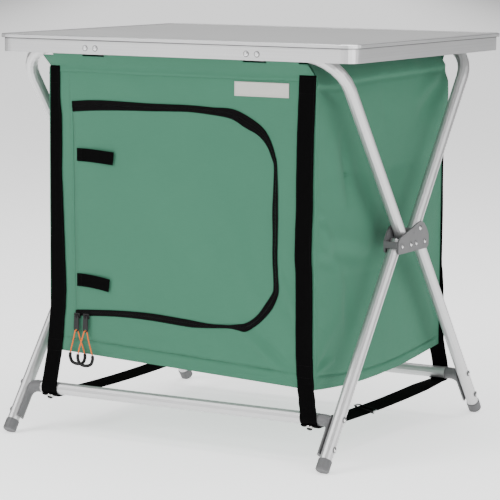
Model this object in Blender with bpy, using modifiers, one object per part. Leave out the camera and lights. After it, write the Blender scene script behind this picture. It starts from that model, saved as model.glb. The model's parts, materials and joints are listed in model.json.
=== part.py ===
# Camp kitchen cupboard: a fabric cabinet with a zipped door, hung between the two
# U-shaped rails of a folding aluminium frame, under an aluminium-edged tabletop.
# Metres, +Z up, +X to the right, the door faces -Y. The origin is on the floor,
# midway between the four feet.

import math

import bmesh
import bpy
from mathutils import Matrix, Vector

# Tabletop
TABLE_SIDE_MARGIN = 0.0265
TABLE_DEPTH = 0.525
TABLE_HEIGHT = 0.620
TABLE_CORNER = 0.026
BOARD_UNDERSIDE = 0.0067
BOARD_SET_DOWN = 0.0004
LIP_OVERHANG = 0.005
LIP_HEIGHT = 0.0055
LIP_EDGE = 0.001
RIM_WIDTH = 0.012
EDGE_WALL = 0.0012
APRON_HEIGHT = 0.0272

# Frame tubes
TUBE_R = 0.0095
TUBE_WALL = 0.0012
TUBE_SIDES_STEP = 5
LEG_CLEARANCE = 0.0345
LEG_ANGLE = math.radians(37.1)
LEG_OFFSET = 0.024
PIVOT_Z = 0.328
BEND_R = 0.062
CROSS_Z = 0.069
CROSS_SETBACK = 0.031
FRONT_TOP_END_Z = 0.320
REAR_TOP_END_Z = 0.302
FRONT_LEG_END_Z = 0.3145
REAR_LEG_END_Z = 0.3115
FOOT_TUBE_END_Z = 0.0095

# Gaps between touching pieces, and how far cutters run past what they cut
GAP = 0.0003
OVERRUN = 0.010

# Round surfaces shade as one up to this angle between their faces
SMOOTH_UP_TO = math.radians(40)

# Feet and elbows
FOOT_WALL = 0.0007
FOOT_LENGTH = 0.0235
FOOT_ROUND = 0.0006
FOOT_EDGE = 0.0015
FOOT_TREAD = 0.0018
ELBOW_BEND = 0.016
ELBOW_SINK = 0.006
ELBOW_END_Z = 0.024
SPIGOT_LENGTH = 0.014

# Hinge brackets and rivets
PLATE = 0.0025
PLATE_TOP = 0.012
PLATE_BOTTOM = 0.0315
PLATE_FRONT = 0.0515
PLATE_REAR = 0.0536
WEB_TOP = 0.012
WEB_BOTTOM = 0.0225
WEB_CLEARANCE = 0.0008
# A hinge plate's edge: shares of its reach to the front (below zero) or the rear, and
# of its depth below the pivot (below zero) or its rise above it
PLATE_SHARES = (
    (-0.97, -1),
    (0.877, -1),
    (0.985, -0.88),
    (1, -0.7),
    (1, -0.38),
    (0.933, -0.17),
    (0.82, 0.17),
    (0.69, 0.68),
    (0.522, 1),
    (0.373, 0.94),
    (-0.883, -0.229),
    (-0.97, -0.333),
    (-1, -0.508),
    (-1, -0.92),
)
PIN_R = 0.004
PIN_HEAD_R = 0.007
PIN_HEAD = 0.002
RIVET_R = 0.0036
RIVET_HEAD = 0.0018
RIVET_SHANK_R = 0.002
RIVET_ROW_DROP = 0.020
RIVET_UPPER_RISE = 0.002
ELBOW_RIVET_Z = (0.072, 0.033)

# Tabletop clips
CLIP_X = 0.140
CLIP_WIDTH = 0.030
CLIP_WALL = 0.0011
CLIP_REACH = math.radians(48)
CLIP_RIVET_PITCH = 0.018
STOP_LENGTH = 0.300
STOP_DROP = 0.012
STOP_THICKNESS = 0.006

# Fabric cabinet
CABINET_HALF_WIDTH = 0.232
CABINET_INSET = 0.0159
CABINET_HANG = 0.0302
CABINET_BOTTOM = 0.116
CLOTH = 0.0012
SIDE_CROWN = 0.006
BACK_CROWN = 0.005
FLOOR_SAG = 0.015
FLOOR_LIFT = 0.002
TOP_SAG = 0.009
FLAP_REACH = 0.024
FLAP_TOP_DROP = 0.0062
FLAP_SETBACK = 0.0018
FLAP_ROWS = 3
WALL_ROWS = 24
FOLD_DEPTH = 0.0015
FOLD_COUNT = 2
FOLD_LEAN = 0.15
FULLNESS = 0.7
HELD_SHARE = 0.35
SEAM_SHARE = 0.08
SLEEVE_CLOTH = 0.001
SLEEVE_TURN = math.radians(240)
SLEEVE_TUCK = 0.008
SLEEVE_NOTCH = 0.0035
SLEEVE_WHOLE_SHARE = 0.76
SLEEVE_SHOULDER = 0.006
SHELF_HEIGHT_SHARES = (1 / 3, 2 / 3)
SHELF_BOARD = 0.003
SHELF_SETBACK = 0.009

# Door and its zip
DOOR_INSET_LEFT = 0.046
DOOR_INSET_RIGHT = 0.067
DOOR_HEADROOM = 0.060
DOOR_BOTTOM = 0.189
DOOR_TOP_R = 0.062
DOOR_BOTTOM_R = 0.048
ZIP_TEETH = 0.0018
ZIP_TAPE = 0.001
ZIP_TEETH_RISE = 0.0008
ZIP_OUTER_TOP = 0.0065
ZIP_OUTER_SIDE = 0.0042
ZIP_OUTER_BOTTOM = 0.0046
ZIP_INNER = 0.0060
HINGE_SETBACK = 0.003

# Zip sliders and pulls
SLIDER_INSETS = (0.0045, 0.0212)
SLIDER_LENGTH = 0.011
SLIDER_DROP = 0.0065
SLIDER_THICKNESS = 0.0022
BAIL_DROP = 0.0028
BAIL_OFFSET = 0.0014
BAIL_R = 0.00205
BAIL_WIRE_R = 0.0005
TAB_WIDTH = 0.0095
TAB_NECK = 0.0075
TAB_LENGTH = 0.0245
TAB_THICKNESS = 0.0014
TAB_BAR = 0.0021
TAB_SLOT_R = 0.001
TAB_EYE_R = 0.0021
TAB_EYE_RIM = 0.0011
PULL_CORD_R = 0.0009
PULL_CORD_DROP = 0.0365
GRIP_R = 0.0023
GRIP_WIDTH = 0.027
GRIP_DROP = 0.0165
GRIP_FORWARD = 0.0085
GRIP_ASIDE = (0.002, 0.005)
# A strand's route from the grip to the eye: how far out, forward and down it lies
STRAND_SHARES = (
    (1, 1, 1),
    (0.75, 0.8, 0.75),
    (0.4, 0.4, 0.4),
    (0.15, 0, 0.06),
    (0.06, 0, 0.02),
)

# Hold-open tabs and the blank label
HOLD_TAB_LENGTHS = (0.068, 0.060)
HOLD_TAB_WIDTH = 0.020
HOLD_TAB_INSETS = (0.075, 0.054)
HOLD_TAB_THICKNESS = 0.0014
LABEL_INSET = 0.044
LABEL_WIDTH = 0.092
LABEL_HEIGHT = 0.0215
LABEL_DROP = 0.023
LABEL_THICKNESS = 0.0006

# Webbing straps
STRAP_WIDTH = 0.028
STRAP = 0.0015
STRAP_STAND_OUT = 0.0015
STRAP_SPREAD = 0.011
STRAP_LEAVE_Z = 0.122
STRAP_TURN = 2.4
SPREADER_END_TURN = -0.72
STUD_TURN = -1.26
STUD_R = 0.0055
STUD_HEIGHT = 0.002
BUCKLE_Y = (-0.150, -0.045)
BUCKLE_LENGTH = 0.024
BUCKLE_WALL = 0.003

# Shades of the finishes: red, green and blue shares
ALUMINIUM_SHARES = (0.62, 0.62, 0.63)
BRACKET_GREY_SHARES = (0.20, 0.20, 0.205)
TABLE_GREY_SHARES = (0.58, 0.58, 0.58)
CLOTH_GREEN_SHARES = (0.12, 0.30, 0.21)
WEBBING_BLACK_SHARES = (0.012, 0.012, 0.013)
CORD_ORANGE_SHARES = (0.75, 0.22, 0.06)
LABEL_SHARES = (0.78, 0.74, 0.70)
BOARD_SHARES = (0.33, 0.24, 0.16)

# Places that follow from the sizes above
LEG_X = CABINET_HALF_WIDTH + LEG_CLEARANCE + TUBE_R
CROSS_HALF = LEG_X - CROSS_SETBACK
TABLE_WIDTH = 2 * (LEG_X + TUBE_R + TABLE_SIDE_MARGIN)
STRAP_TOP_X = CABINET_HALF_WIDTH + STRAP_STAND_OUT - STRAP_WIDTH / 2
STRAP_FOOT_X = STRAP_TOP_X + STRAP_SPREAD
RAIL_Z = TABLE_HEIGHT - BOARD_UNDERSIDE - 2 * GAP - SLEEVE_CLOTH - TUBE_R


def leg_y(z):
    """Distance of a leg's centre line from the frame's middle plane, at a height."""
    return LEG_OFFSET + math.tan(LEG_ANGLE) * abs(z - PIVOT_Z)


RAIL_Y = leg_y(RAIL_Z)
CROSS_Y = leg_y(CROSS_Z)
WRAP = TUBE_R + 2 * GAP + max(CLIP_WALL, SLEEVE_CLOTH)
TABLE_FRONT = -RAIL_Y - WRAP - EDGE_WALL - LIP_OVERHANG
TABLE_SHIFT = TABLE_FRONT + TABLE_DEPTH / 2
CABINET_HALF_DEPTH = RAIL_Y - CABINET_INSET
CABINET_TOP = RAIL_Z - CABINET_HANG
FRONT_FACE = -CABINET_HALF_DEPTH
SHELF_HEIGHTS = tuple(
    CABINET_BOTTOM + (CABINET_TOP - CABINET_BOTTOM) * share for share in SHELF_HEIGHT_SHARES
)
DOOR_TOP = CABINET_TOP - DOOR_HEADROOM
HOLD_TAB_HEIGHTS = (DOOR_TOP - HOLD_TAB_INSETS[0], DOOR_BOTTOM + HOLD_TAB_INSETS[1])
LABEL_Z = CABINET_TOP - LABEL_DROP
LABEL_LEFT = CABINET_HALF_WIDTH - LABEL_INSET - LABEL_WIDTH
DOOR_LEFT = DOOR_INSET_LEFT - CABINET_HALF_WIDTH
DOOR_RIGHT = CABINET_HALF_WIDTH - DOOR_INSET_RIGHT
SLIDER_X = tuple(DOOR_LEFT + inset for inset in SLIDER_INSETS)
HANDS = ((-1, "left"), (1, "right"))


def clear_scene():
    for old in list(bpy.data.objects):
        bpy.data.objects.remove(old, do_unlink=True)


def new_collection(name, shown=True):
    made = bpy.data.collections.new(name)
    made.hide_render = not shown
    bpy.context.scene.collection.children.link(made)
    return made


def finish(name, shares, roughness, metallic=0.0):
    made = bpy.data.materials.new(name)
    made.use_nodes = True
    shader = made.node_tree.nodes["Principled BSDF"]
    shader.inputs["Base Color"].default_value = (*shares, 1)
    shader.inputs["Roughness"].default_value = roughness
    shader.inputs["Metallic"].default_value = metallic
    return made


clear_scene()
PARTS = new_collection("camp_kitchen_cupboard")
CUTTERS = new_collection("cutters", shown=False)

ALUMINIUM = finish("brushed_aluminium", ALUMINIUM_SHARES, 0.38, 0.9)
GREY_PLASTIC = finish("grey_plastic", BRACKET_GREY_SHARES, 0.5)
TABLE_GREY = finish("table_laminate", TABLE_GREY_SHARES, 0.45)
GREEN_CLOTH = finish("green_polyester", CLOTH_GREEN_SHARES, 0.85)
BLACK_WEBBING = finish("black_webbing", WEBBING_BLACK_SHARES, 0.8)
BLACK_PLASTIC = finish("black_plastic", WEBBING_BLACK_SHARES, 0.4)
ORANGE_CORD = finish("orange_cord", CORD_ORANGE_SHARES, 0.7)
LABEL_CLOTH = finish("label_cloth", LABEL_SHARES, 0.8)
HARDBOARD = finish("hardboard", BOARD_SHARES, 0.8)

# Planes for flat outlines: the outline's own x and y, then the way it is thick
SIDE_PLANE = Matrix(((0, 0, 1), (1, 0, 0), (0, 1, 0))).to_4x4()
FRONT_PLANE = Matrix(((1, 0, 0), (0, 0, -1), (0, 1, 0))).to_4x4()
FLOOR_PLANE = Matrix.Identity(4)


def new_object(name, data, material):
    data.materials.clear()
    data.materials.append(material)
    made = bpy.data.objects.new(name, data)
    PARTS.objects.link(made)
    return made


def arc(centre, radius, start, end, steps):
    """Points along a circle, from one angle to another."""
    turns = [start + (end - start) * i / steps for i in range(steps + 1)]
    return [(centre[0] + radius * math.cos(a), centre[1] + radius * math.sin(a)) for a in turns]


def tangent_turn(centre, radius, point, way):
    """Where round a circle a straight strap from a point meets it."""
    across, up = point[0] - centre[0], point[1] - centre[1]
    return math.atan2(up, across) + way * math.acos(radius / math.hypot(across, up))


def circle(centre, radius, steps=20):
    return arc(centre, radius, 0, math.tau, steps)[:-1]


def smooth_path(points, steps):
    """Points read from a smooth curve through the given ones."""
    ends = [2 * points[0] - points[1]] + points + [2 * points[-1] - points[-2]]
    result = [points[0]]
    for i in range(1, len(ends) - 2):
        a, b, c, d = ends[i - 1 : i + 3]
        for step in range(1, steps + 1):
            t = step / steps
            bend = (2 * a - 5 * b + 4 * c - d) * t * t + (3 * b - a - 3 * c + d) * t * t * t
            result.append(b + ((c - a) * t + bend) / 2)
    return result


def outline(name, contours, thickness, plane, at, material):
    """A flat piece: the first contour is its edge, the others are holes in it."""
    data = bpy.data.curves.new(name, "CURVE")
    data.dimensions = "2D"
    data.fill_mode = "BOTH"
    data.extrude = thickness / 2
    for points in contours:
        spline = data.splines.new("POLY")
        spline.points.add(len(points) - 1)
        for point, (x, y) in zip(spline.points, points):
            point.co = (x, y, 0, 1)
        spline.use_cyclic_u = True
    made = new_object(name, data, material)
    made.matrix_world = Matrix.Translation(at) @ plane
    return made


def tube(name, points, radius, material, wall=None, resolution=TUBE_SIDES_STEP, widths=None):
    """A round tube or rod along points: hollow and open where it has a wall."""
    data = bpy.data.curves.new(name, "CURVE")
    data.dimensions = "3D"
    data.bevel_depth = radius
    data.bevel_resolution = resolution
    data.use_fill_caps = wall is None
    spline = data.splines.new("POLY")
    spline.points.add(len(points) - 1)
    for i, (point, place) in enumerate(zip(spline.points, points)):
        point.co = (*place, 1)
        point.radius = widths[i] if widths else 1
    made = new_object(name, data, material)
    if wall:
        shell = made.modifiers.new("wall", "SOLIDIFY")
        shell.thickness = wall
        shell.offset = -1
        shell.use_even_offset = True
    return made


def shade(made):
    """Smooth shading, with the real edges kept sharp."""
    made.data.shade_smooth()
    made.data.set_sharp_from_angle(angle=SMOOTH_UP_TO)
    return made


def as_mesh(made):
    """Turns a curve object into a mesh object with welded caps, in the same place."""
    bpy.context.view_layer.update()
    graph = bpy.context.evaluated_depsgraph_get()
    mesh = bpy.data.meshes.new_from_object(made.evaluated_get(graph))
    work = bmesh.new()
    work.from_mesh(mesh)
    bmesh.ops.remove_doubles(work, verts=work.verts, dist=GAP / 100)
    bmesh.ops.recalc_face_normals(work, faces=work.faces)
    work.to_mesh(mesh)
    work.free()
    name, place = made.name, made.matrix_world.copy()
    material = made.data.materials[0]
    bpy.data.objects.remove(made)
    result = new_object(name, mesh, material)
    result.matrix_world = place
    return shade(result)


def combine(made, other, operation):
    """Joins or cuts a mesh with another, which is kept as a hidden cutter."""
    other.name = f"{operation.lower()}_{other.name}"
    other.hide_render = True
    other.display_type = "WIRE"
    PARTS.objects.unlink(other)
    CUTTERS.objects.link(other)
    step = made.modifiers.new(other.name, "BOOLEAN")
    step.operation = operation
    step.solver = "EXACT"
    step.object = other
    return made


def box(name, low, high, material, bevel=0.0):
    work = bmesh.new()
    bmesh.ops.create_cube(work, size=1)
    for vert in work.verts:
        for axis in range(3):
            vert.co[axis] = high[axis] if vert.co[axis] > 0 else low[axis]
    mesh = bpy.data.meshes.new(name)
    work.to_mesh(mesh)
    work.free()
    made = new_object(name, mesh, material)
    if bevel:
        rounding = made.modifiers.new("rounding", "BEVEL")
        rounding.width = bevel
        rounding.segments = 2
    return made


def turned_mesh(profile, steps):
    """The mesh of a turned shape. Its profile of radius and height runs top to bottom."""
    mesh = bpy.data.meshes.new("profile")
    edges = [(i, i + 1) for i in range(len(profile) - 1)]
    mesh.from_pydata([(r, 0, h) for r, h in profile], edges, [])
    made = bpy.data.objects.new("profile", mesh)
    bpy.context.scene.collection.objects.link(made)
    turn = made.modifiers.new("turn", "SCREW")
    turn.steps = steps
    turn.render_steps = steps
    turn.use_merge_vertices = True
    turn.merge_threshold = GAP / 100
    bpy.context.view_layer.update()
    graph = bpy.context.evaluated_depsgraph_get()
    result = bpy.data.meshes.new_from_object(made.evaluated_get(graph))
    bpy.data.objects.remove(made)
    return result


def copies(name, mesh, places, material):
    """One mesh at several places, in one object."""
    work = bmesh.new()
    for place in places:
        start = len(work.verts)
        work.from_mesh(mesh)
        work.verts.ensure_lookup_table()
        bmesh.ops.transform(work, matrix=place, verts=work.verts[start:])
    bmesh.ops.remove_doubles(work, verts=work.verts, dist=GAP / 100)
    bmesh.ops.recalc_face_normals(work, faces=work.faces)
    data = bpy.data.meshes.new(name)
    work.to_mesh(data)
    work.free()
    return shade(new_object(name, data, material))


def solidify(made, thickness, offset):
    shell = made.modifiers.new("thickness", "SOLIDIFY")
    shell.thickness = thickness
    shell.offset = offset
    shell.use_even_offset = True
    return made


def strip(name, rows, thickness, material):
    """Webbing or cloth along a path. Each row holds the points across it."""
    work = bmesh.new()
    made = [[work.verts.new(point) for point in row] for row in rows]
    for one, two in zip(made, made[1:]):
        for i in range(len(one) - 1):
            work.faces.new((one[i], one[i + 1], two[i + 1], two[i]))
    mesh = bpy.data.meshes.new(name)
    work.to_mesh(mesh)
    work.free()
    return solidify(new_object(name, mesh, material), thickness, 0)


def ribbon(name, path, width, thickness, material):
    rows = [[(x - width / 2, y, z), (x + width / 2, y, z)] for x, y, z in path]
    return strip(name, rows, thickness, material)


def cloth(name, place, columns, rows, thickness, offset, material):
    """A sheet of cloth: place(u, v) gives each point, with u and v from 0 to 1."""
    work = bmesh.new()
    bmesh.ops.create_grid(work, x_segments=columns, y_segments=rows, size=0.5)
    for vert in work.verts:
        vert.co = place(vert.co.x + 0.5, vert.co.y + 0.5)
    mesh = bpy.data.meshes.new(name)
    work.to_mesh(mesh)
    work.free()
    return shade(solidify(new_object(name, mesh, material), thickness, offset))


def rounded_rectangle(half_width, half_depth, radius, centre_y, steps=6):
    """The corner arcs of a rounded rectangle, anticlockwise from the right."""
    points = []
    for quarter, (sx, sy) in enumerate(((1, 1), (-1, 1), (-1, -1), (1, -1))):
        centre = (sx * (half_width - radius), centre_y + sy * (half_depth - radius))
        points += arc(centre, radius, quarter * math.pi / 2, (quarter + 1) * math.pi / 2, steps)
    return points


def facing(direction):
    """Turns a shape's own Z to a direction."""
    return Vector((0, 0, 1)).rotation_difference(Vector(direction)).to_matrix().to_4x4()


def rivet_mesh(head_r, head, shank_r, shank):
    """A domed head on its own Z = 0, and a shank below it."""
    profile = [
        (0, head),
        (0.55 * head_r, 0.86 * head),
        (head_r, 0.3 * head),
        (head_r, 0),
        (shank_r, 0),
        (shank_r, -shank),
        (0, -shank),
    ]
    return turned_mesh(profile, 12)


def rivets(owner, places, shank, material):
    """Rivets joined to the piece that they fasten."""
    mesh = rivet_mesh(RIVET_R, RIVET_HEAD, RIVET_SHANK_R, shank)
    return combine(owner, copies("rivets_of_" + owner.name, mesh, places, material), "UNION")


def drill(owner, ends, radius):
    """Cuts a round hole along each pair of ends."""
    for start, end in ends:
        rod = tube("hole_in_" + owner.name, [start, end], radius, GREY_PLASTIC, resolution=2)
        combine(owner, as_mesh(rod), "DIFFERENCE")
    return owner


# Frame


def make_top_frame(name, y_sign, end_z):
    """One bent tube: a rail under the tabletop and two legs down to the hinge."""
    run = (RAIL_Z - end_z) / math.cos(LEG_ANGLE)
    half = [(LEG_X, run)] + arc((LEG_X - BEND_R, BEND_R), BEND_R, 0, -math.pi / 2, 7)
    flat = half + [(-x, s) for x, s in reversed(half)]
    points = [
        (x, y_sign * (RAIL_Y - s * math.sin(LEG_ANGLE)), RAIL_Z - s * math.cos(LEG_ANGLE))
        for x, s in flat
    ]
    return tube(name, points, TUBE_R, ALUMINIUM, wall=TUBE_WALL)


def make_leg(name, y_sign, side, top_z):
    """A leg, with holes for the elbow's rivets."""
    ends = [(side * LEG_X, y_sign * leg_y(z), z) for z in (top_z, FOOT_TUBE_END_Z)]
    leg = as_mesh(tube(name, ends, TUBE_R, ALUMINIUM, wall=TUBE_WALL))
    across = (LEG_X - TUBE_R - OVERRUN, LEG_X + TUBE_R + OVERRUN)
    holes = [[(side * x, y_sign * leg_y(z), z) for x in across] for z in ELBOW_RIVET_Z]
    return drill(leg, holes, RIVET_SHANK_R + GAP)


def make_cross_tube(name, y_sign):
    ends = [(end * CROSS_HALF, y_sign * CROSS_Y, CROSS_Z) for end in (-1, 1)]
    return tube(name, ends, TUBE_R, ALUMINIUM, wall=TUBE_WALL)


def make_elbow(name, y_sign, side):
    """Plugs into the cross tube, bends down and lies flat along the leg's inner side.
    Its two rivets go through the leg."""
    arm_x = LEG_X - ELBOW_SINK
    flat_x = LEG_X - TUBE_R - GAP
    start = CROSS_HALF + GAP
    plug = (TUBE_R - TUBE_WALL - GAP) / TUBE_R
    run_end = (CROSS_Z - ELBOW_END_Z) / math.cos(LEG_ANGLE)
    bend = arc((arm_x - ELBOW_BEND, ELBOW_BEND), ELBOW_BEND, -math.pi / 2, 0, 6)
    plugged = [(start - SPIGOT_LENGTH, 0), (start, 0), (start + GAP, 0)]
    flat = plugged + bend + [(arm_x, run_end)]
    widths = [plug, plug] + [1] * (len(flat) - 2)
    points = [
        (
            side * x,
            y_sign * (CROSS_Y + s * math.sin(LEG_ANGLE)),
            CROSS_Z - s * math.cos(LEG_ANGLE),
        )
        for x, s in flat
    ]
    elbow = as_mesh(tube(name, points, TUBE_R, GREY_PLASTIC, resolution=4, widths=widths))
    across = sorted((side * flat_x, side * (LEG_X + TUBE_R + OVERRUN)))
    beyond = CROSS_Y + TUBE_R + 2 * run_end
    low = (across[0], -beyond, -OVERRUN)
    high = (across[1], beyond, CROSS_Z + TUBE_R + OVERRUN)
    combine(elbow, box("leg_side_of_" + name, low, high, GREY_PLASTIC), "DIFFERENCE")
    head_x = LEG_X + TUBE_R + GAP
    places = [
        Matrix.Translation((side * head_x, y_sign * leg_y(z), z)) @ facing((side, 0, 0))
        for z in ELBOW_RIVET_Z
    ]
    return rivets(elbow, places, head_x - flat_x + RIVET_SHANK_R, GREY_PLASTIC)


def make_foot(name, y_sign, side):
    """A cap on a leg's end, square to the leg, with a small flat where it stands."""
    outer = TUBE_R + GAP + FOOT_WALL
    inner = TUBE_R + GAP
    bore = FOOT_TUBE_END_Z / math.cos(LEG_ANGLE) - GAP
    end = outer * math.tan(LEG_ANGLE) - FOOT_TREAD / math.cos(LEG_ANGLE)
    profile = [
        (0, bore),
        (inner, bore),
        (inner, FOOT_LENGTH),
        (outer - FOOT_ROUND, FOOT_LENGTH),
        (outer, FOOT_LENGTH - FOOT_ROUND),
        (outer, end + FOOT_EDGE),
        (outer - FOOT_EDGE, end),
        (0, end),
    ]
    lean = facing((0, -y_sign * math.sin(LEG_ANGLE), math.cos(LEG_ANGLE)))
    place = Matrix.Translation((side * LEG_X, y_sign * leg_y(0), 0)) @ lean
    foot = copies(name, turned_mesh(profile, 20), [place], GREY_PLASTIC)
    work = bmesh.new()
    work.from_mesh(foot.data)
    cut = bmesh.ops.bisect_plane(
        work,
        geom=work.verts[:] + work.edges[:] + work.faces[:],
        plane_co=(0, 0, 0),
        plane_no=(0, 0, 1),
        clear_inner=True,
    )
    rims = [item for item in cut["geom_cut"] if isinstance(item, bmesh.types.BMEdge)]
    bmesh.ops.holes_fill(work, edges=rims)
    bmesh.ops.recalc_face_normals(work, faces=work.faces)
    work.to_mesh(foot.data)
    work.free()
    return shade(foot)


def plate_outline(y_sign):
    """Edge of a hinge plate. Its peak is at the rear for y_sign 1."""
    points = []
    for along, up in PLATE_SHARES:
        y = along * (PLATE_REAR if along > 0 else PLATE_FRONT)
        z = up * (PLATE_TOP if up > 0 else PLATE_BOTTOM)
        points.append((y_sign * y, PIVOT_Z + z))
    return points


def plate_rivet_points():
    """Rivets of the outer plate: a level row of four, and one on the rear top tube."""
    row_z = PIVOT_Z - RIVET_ROW_DROP
    lower = leg_y(row_z)
    upper = LEG_OFFSET - math.tan(LEG_ANGLE) * RIVET_ROW_DROP
    high_z = PIVOT_Z + RIVET_UPPER_RISE
    row = [(y, row_z) for y in (-lower, -upper, upper, lower)]
    return row + [(leg_y(high_z), high_z)]


def bracket_rivet_points():
    """Rivets of the inner bracket: one on the front top tube, one on the rear leg."""
    row_z = PIVOT_Z - RIVET_ROW_DROP
    high_z = PIVOT_Z + RIVET_UPPER_RISE
    return [(-leg_y(high_z), high_z), (leg_y(row_z), row_z)]


def make_outer_plate(name, side):
    """Carries the rear top tube and the front leg on the outside of the pivot."""
    inner = LEG_X + TUBE_R + GAP
    pin_hole = circle((0, PIVOT_Z), PIN_R + GAP)
    middle = (side * (inner + PLATE / 2), 0, 0)
    plate = outline(name, [plate_outline(1), pin_hole], PLATE, SIDE_PLANE, middle, GREY_PLASTIC)
    places = [
        Matrix.Translation((side * (inner + PLATE), y, z)) @ facing((side, 0, 0))
        for y, z in plate_rivet_points()
    ]
    return rivets(as_mesh(plate), places, PLATE / 2, GREY_PLASTIC)


def make_inner_bracket(name, side):
    """A wall on the inner side of the tubes, with a web that closes its front."""
    wall_out = LEG_X - TUBE_R - GAP
    wall_in = wall_out - PLATE
    pin_hole = circle((0, PIVOT_Z), PIN_R + GAP)
    middle = (side * (wall_out - PLATE / 2), 0, 0)
    wall = outline(name, [plate_outline(-1), pin_hole], PLATE, SIDE_PLANE, middle, GREY_PLASTIC)
    wall = as_mesh(wall)
    across = sorted((side * (wall_out - PLATE / 2), side * (LEG_X + TUBE_R)))
    low = (across[0], -PLATE_REAR, PIVOT_Z - WEB_BOTTOM)
    high = (across[1], -PLATE_REAR + PLATE, PIVOT_Z - WEB_TOP)
    combine(wall, box("web_of_" + name, low, high, GREY_PLASTIC), "UNION")
    ends = [(side * LEG_X, -leg_y(z), z) for z in (FRONT_LEG_END_Z, CROSS_Z)]
    arch = tube("arch_of_" + name, ends, TUBE_R + WEB_CLEARANCE, GREY_PLASTIC, resolution=6)
    combine(wall, as_mesh(arch), "DIFFERENCE")
    places = [
        Matrix.Translation((side * wall_in, y, z)) @ facing((-side, 0, 0))
        for y, z in bracket_rivet_points()
    ]
    return rivets(wall, places, PLATE / 2, GREY_PLASTIC)


def make_pivot_pin(name, side):
    inner = LEG_X - TUBE_R - GAP - PLATE
    outer = LEG_X + TUBE_R + GAP + PLATE
    profile = [
        (0, outer),
        (PIN_R, outer),
        (PIN_R, inner - GAP),
        (PIN_HEAD_R, inner - GAP),
        (PIN_HEAD_R, inner - GAP - PIN_HEAD),
        (0, inner - GAP - PIN_HEAD),
    ]
    place = Matrix.Translation((0, 0, PIVOT_Z)) @ facing((side, 0, 0))
    return copies(name, turned_mesh(profile, 20), [place], ALUMINIUM)


# Tabletop


def table_edge_points(inset):
    half_width = TABLE_WIDTH / 2 - inset
    half_depth = TABLE_DEPTH / 2 - inset
    return rounded_rectangle(half_width, half_depth, TABLE_CORNER - inset, TABLE_SHIFT)


def clip_rivet_places():
    """Where the clips' rivets pass through the front apron, heads outwards."""
    face = TABLE_SHIFT - TABLE_DEPTH / 2 + LIP_OVERHANG
    return [
        (side, Matrix.Translation((side * CLIP_X + step * CLIP_RIVET_PITCH / 2, face, RAIL_Z)))
        for side in (-1, 1)
        for step in (-1, 1)
    ]


def table_mesh(name, profile, closed):
    """Outlines of the tabletop, joined in turn. Each one has an inset and a height. They
    close into a frame, or else the first and the last are filled in."""
    work = bmesh.new()
    rings = []
    for inset, z in profile:
        rings.append([work.verts.new((x, y, z)) for x, y in table_edge_points(inset)])
    following = rings[1:] + rings[:1] if closed else rings[1:]
    for one, two in zip(rings, following):
        for i in range(len(one)):
            j = (i + 1) % len(one)
            work.faces.new((one[i], one[j], two[j], two[i]))
    if not closed:
        work.faces.new(rings[0])
        work.faces.new(rings[-1])
    bmesh.ops.recalc_face_normals(work, faces=work.faces)
    mesh = bpy.data.meshes.new(name)
    work.to_mesh(mesh)
    work.free()
    return mesh


def make_tabletop_edge():
    """An aluminium profile round the board: a lip on top and an apron below it."""
    top = TABLE_HEIGHT
    wall_in = LIP_OVERHANG + EDGE_WALL
    profile = [
        (0, top - LIP_HEIGHT),
        (0, top - LIP_EDGE),
        (LIP_EDGE, top),
        (RIM_WIDTH, top),
        (RIM_WIDTH, top - EDGE_WALL),
        (wall_in, top - EDGE_WALL),
        (wall_in, top - APRON_HEIGHT),
        (LIP_OVERHANG, top - APRON_HEIGHT),
        (LIP_OVERHANG, top - LIP_HEIGHT),
    ]
    mesh = table_mesh("tabletop_edge", profile, closed=True)
    edge = shade(new_object("tabletop_edge", mesh, ALUMINIUM))
    holes = []
    for _, place in clip_rivet_places():
        x, y, z = place.translation
        holes.append([(x, y - OVERRUN, z), (x, y + EDGE_WALL + OVERRUN, z)])
    return drill(edge, holes, RIVET_SHANK_R + GAP)


def make_tabletop_board():
    """A board with a rebate round its top, so that its face fills the lip's opening."""
    edge = LIP_OVERHANG + EDGE_WALL + GAP
    rebate = TABLE_HEIGHT - EDGE_WALL - GAP
    profile = [
        (edge, TABLE_HEIGHT - BOARD_UNDERSIDE),
        (edge, rebate),
        (RIM_WIDTH + GAP, rebate),
        (RIM_WIDTH + GAP, TABLE_HEIGHT - BOARD_SET_DOWN),
    ]
    mesh = table_mesh("tabletop_board", profile, closed=False)
    return new_object("tabletop_board", mesh, TABLE_GREY)


def make_rail_clip(name, side):
    """A saddle riveted to the front apron. It holds the front rail from below."""
    middle = TUBE_R + GAP + CLIP_WALL / 2
    turns = arc((-RAIL_Y, RAIL_Z), middle, math.pi - CLIP_REACH, math.tau + CLIP_REACH, 14)
    path = [(side * CLIP_X, y, z) for y, z in turns]
    clip = as_mesh(ribbon(name, path, CLIP_WIDTH, CLIP_WALL, ALUMINIUM))
    lift = facing((0, -1, 0)) @ Matrix.Translation((0, 0, GAP))
    places = [place @ lift for owner, place in clip_rivet_places() if owner == side]
    face = TABLE_SHIFT - TABLE_DEPTH / 2 + LIP_OVERHANG - GAP
    return rivets(clip, places, -RAIL_Y - middle - face, ALUMINIUM)


def make_rear_stop():
    """A bar under the board that keeps the rear rail from sliding back."""
    front = RAIL_Y + TUBE_R + 2 * GAP + SLEEVE_CLOTH
    top = TABLE_HEIGHT - BOARD_UNDERSIDE - GAP
    low = (-STOP_LENGTH / 2, front, top - STOP_DROP)
    high = (STOP_LENGTH / 2, front + STOP_THICKNESS, top)
    return box("rear_stop", low, high, GREY_PLASTIC, bevel=STOP_THICKNESS / 5)


# Cabinet


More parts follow.
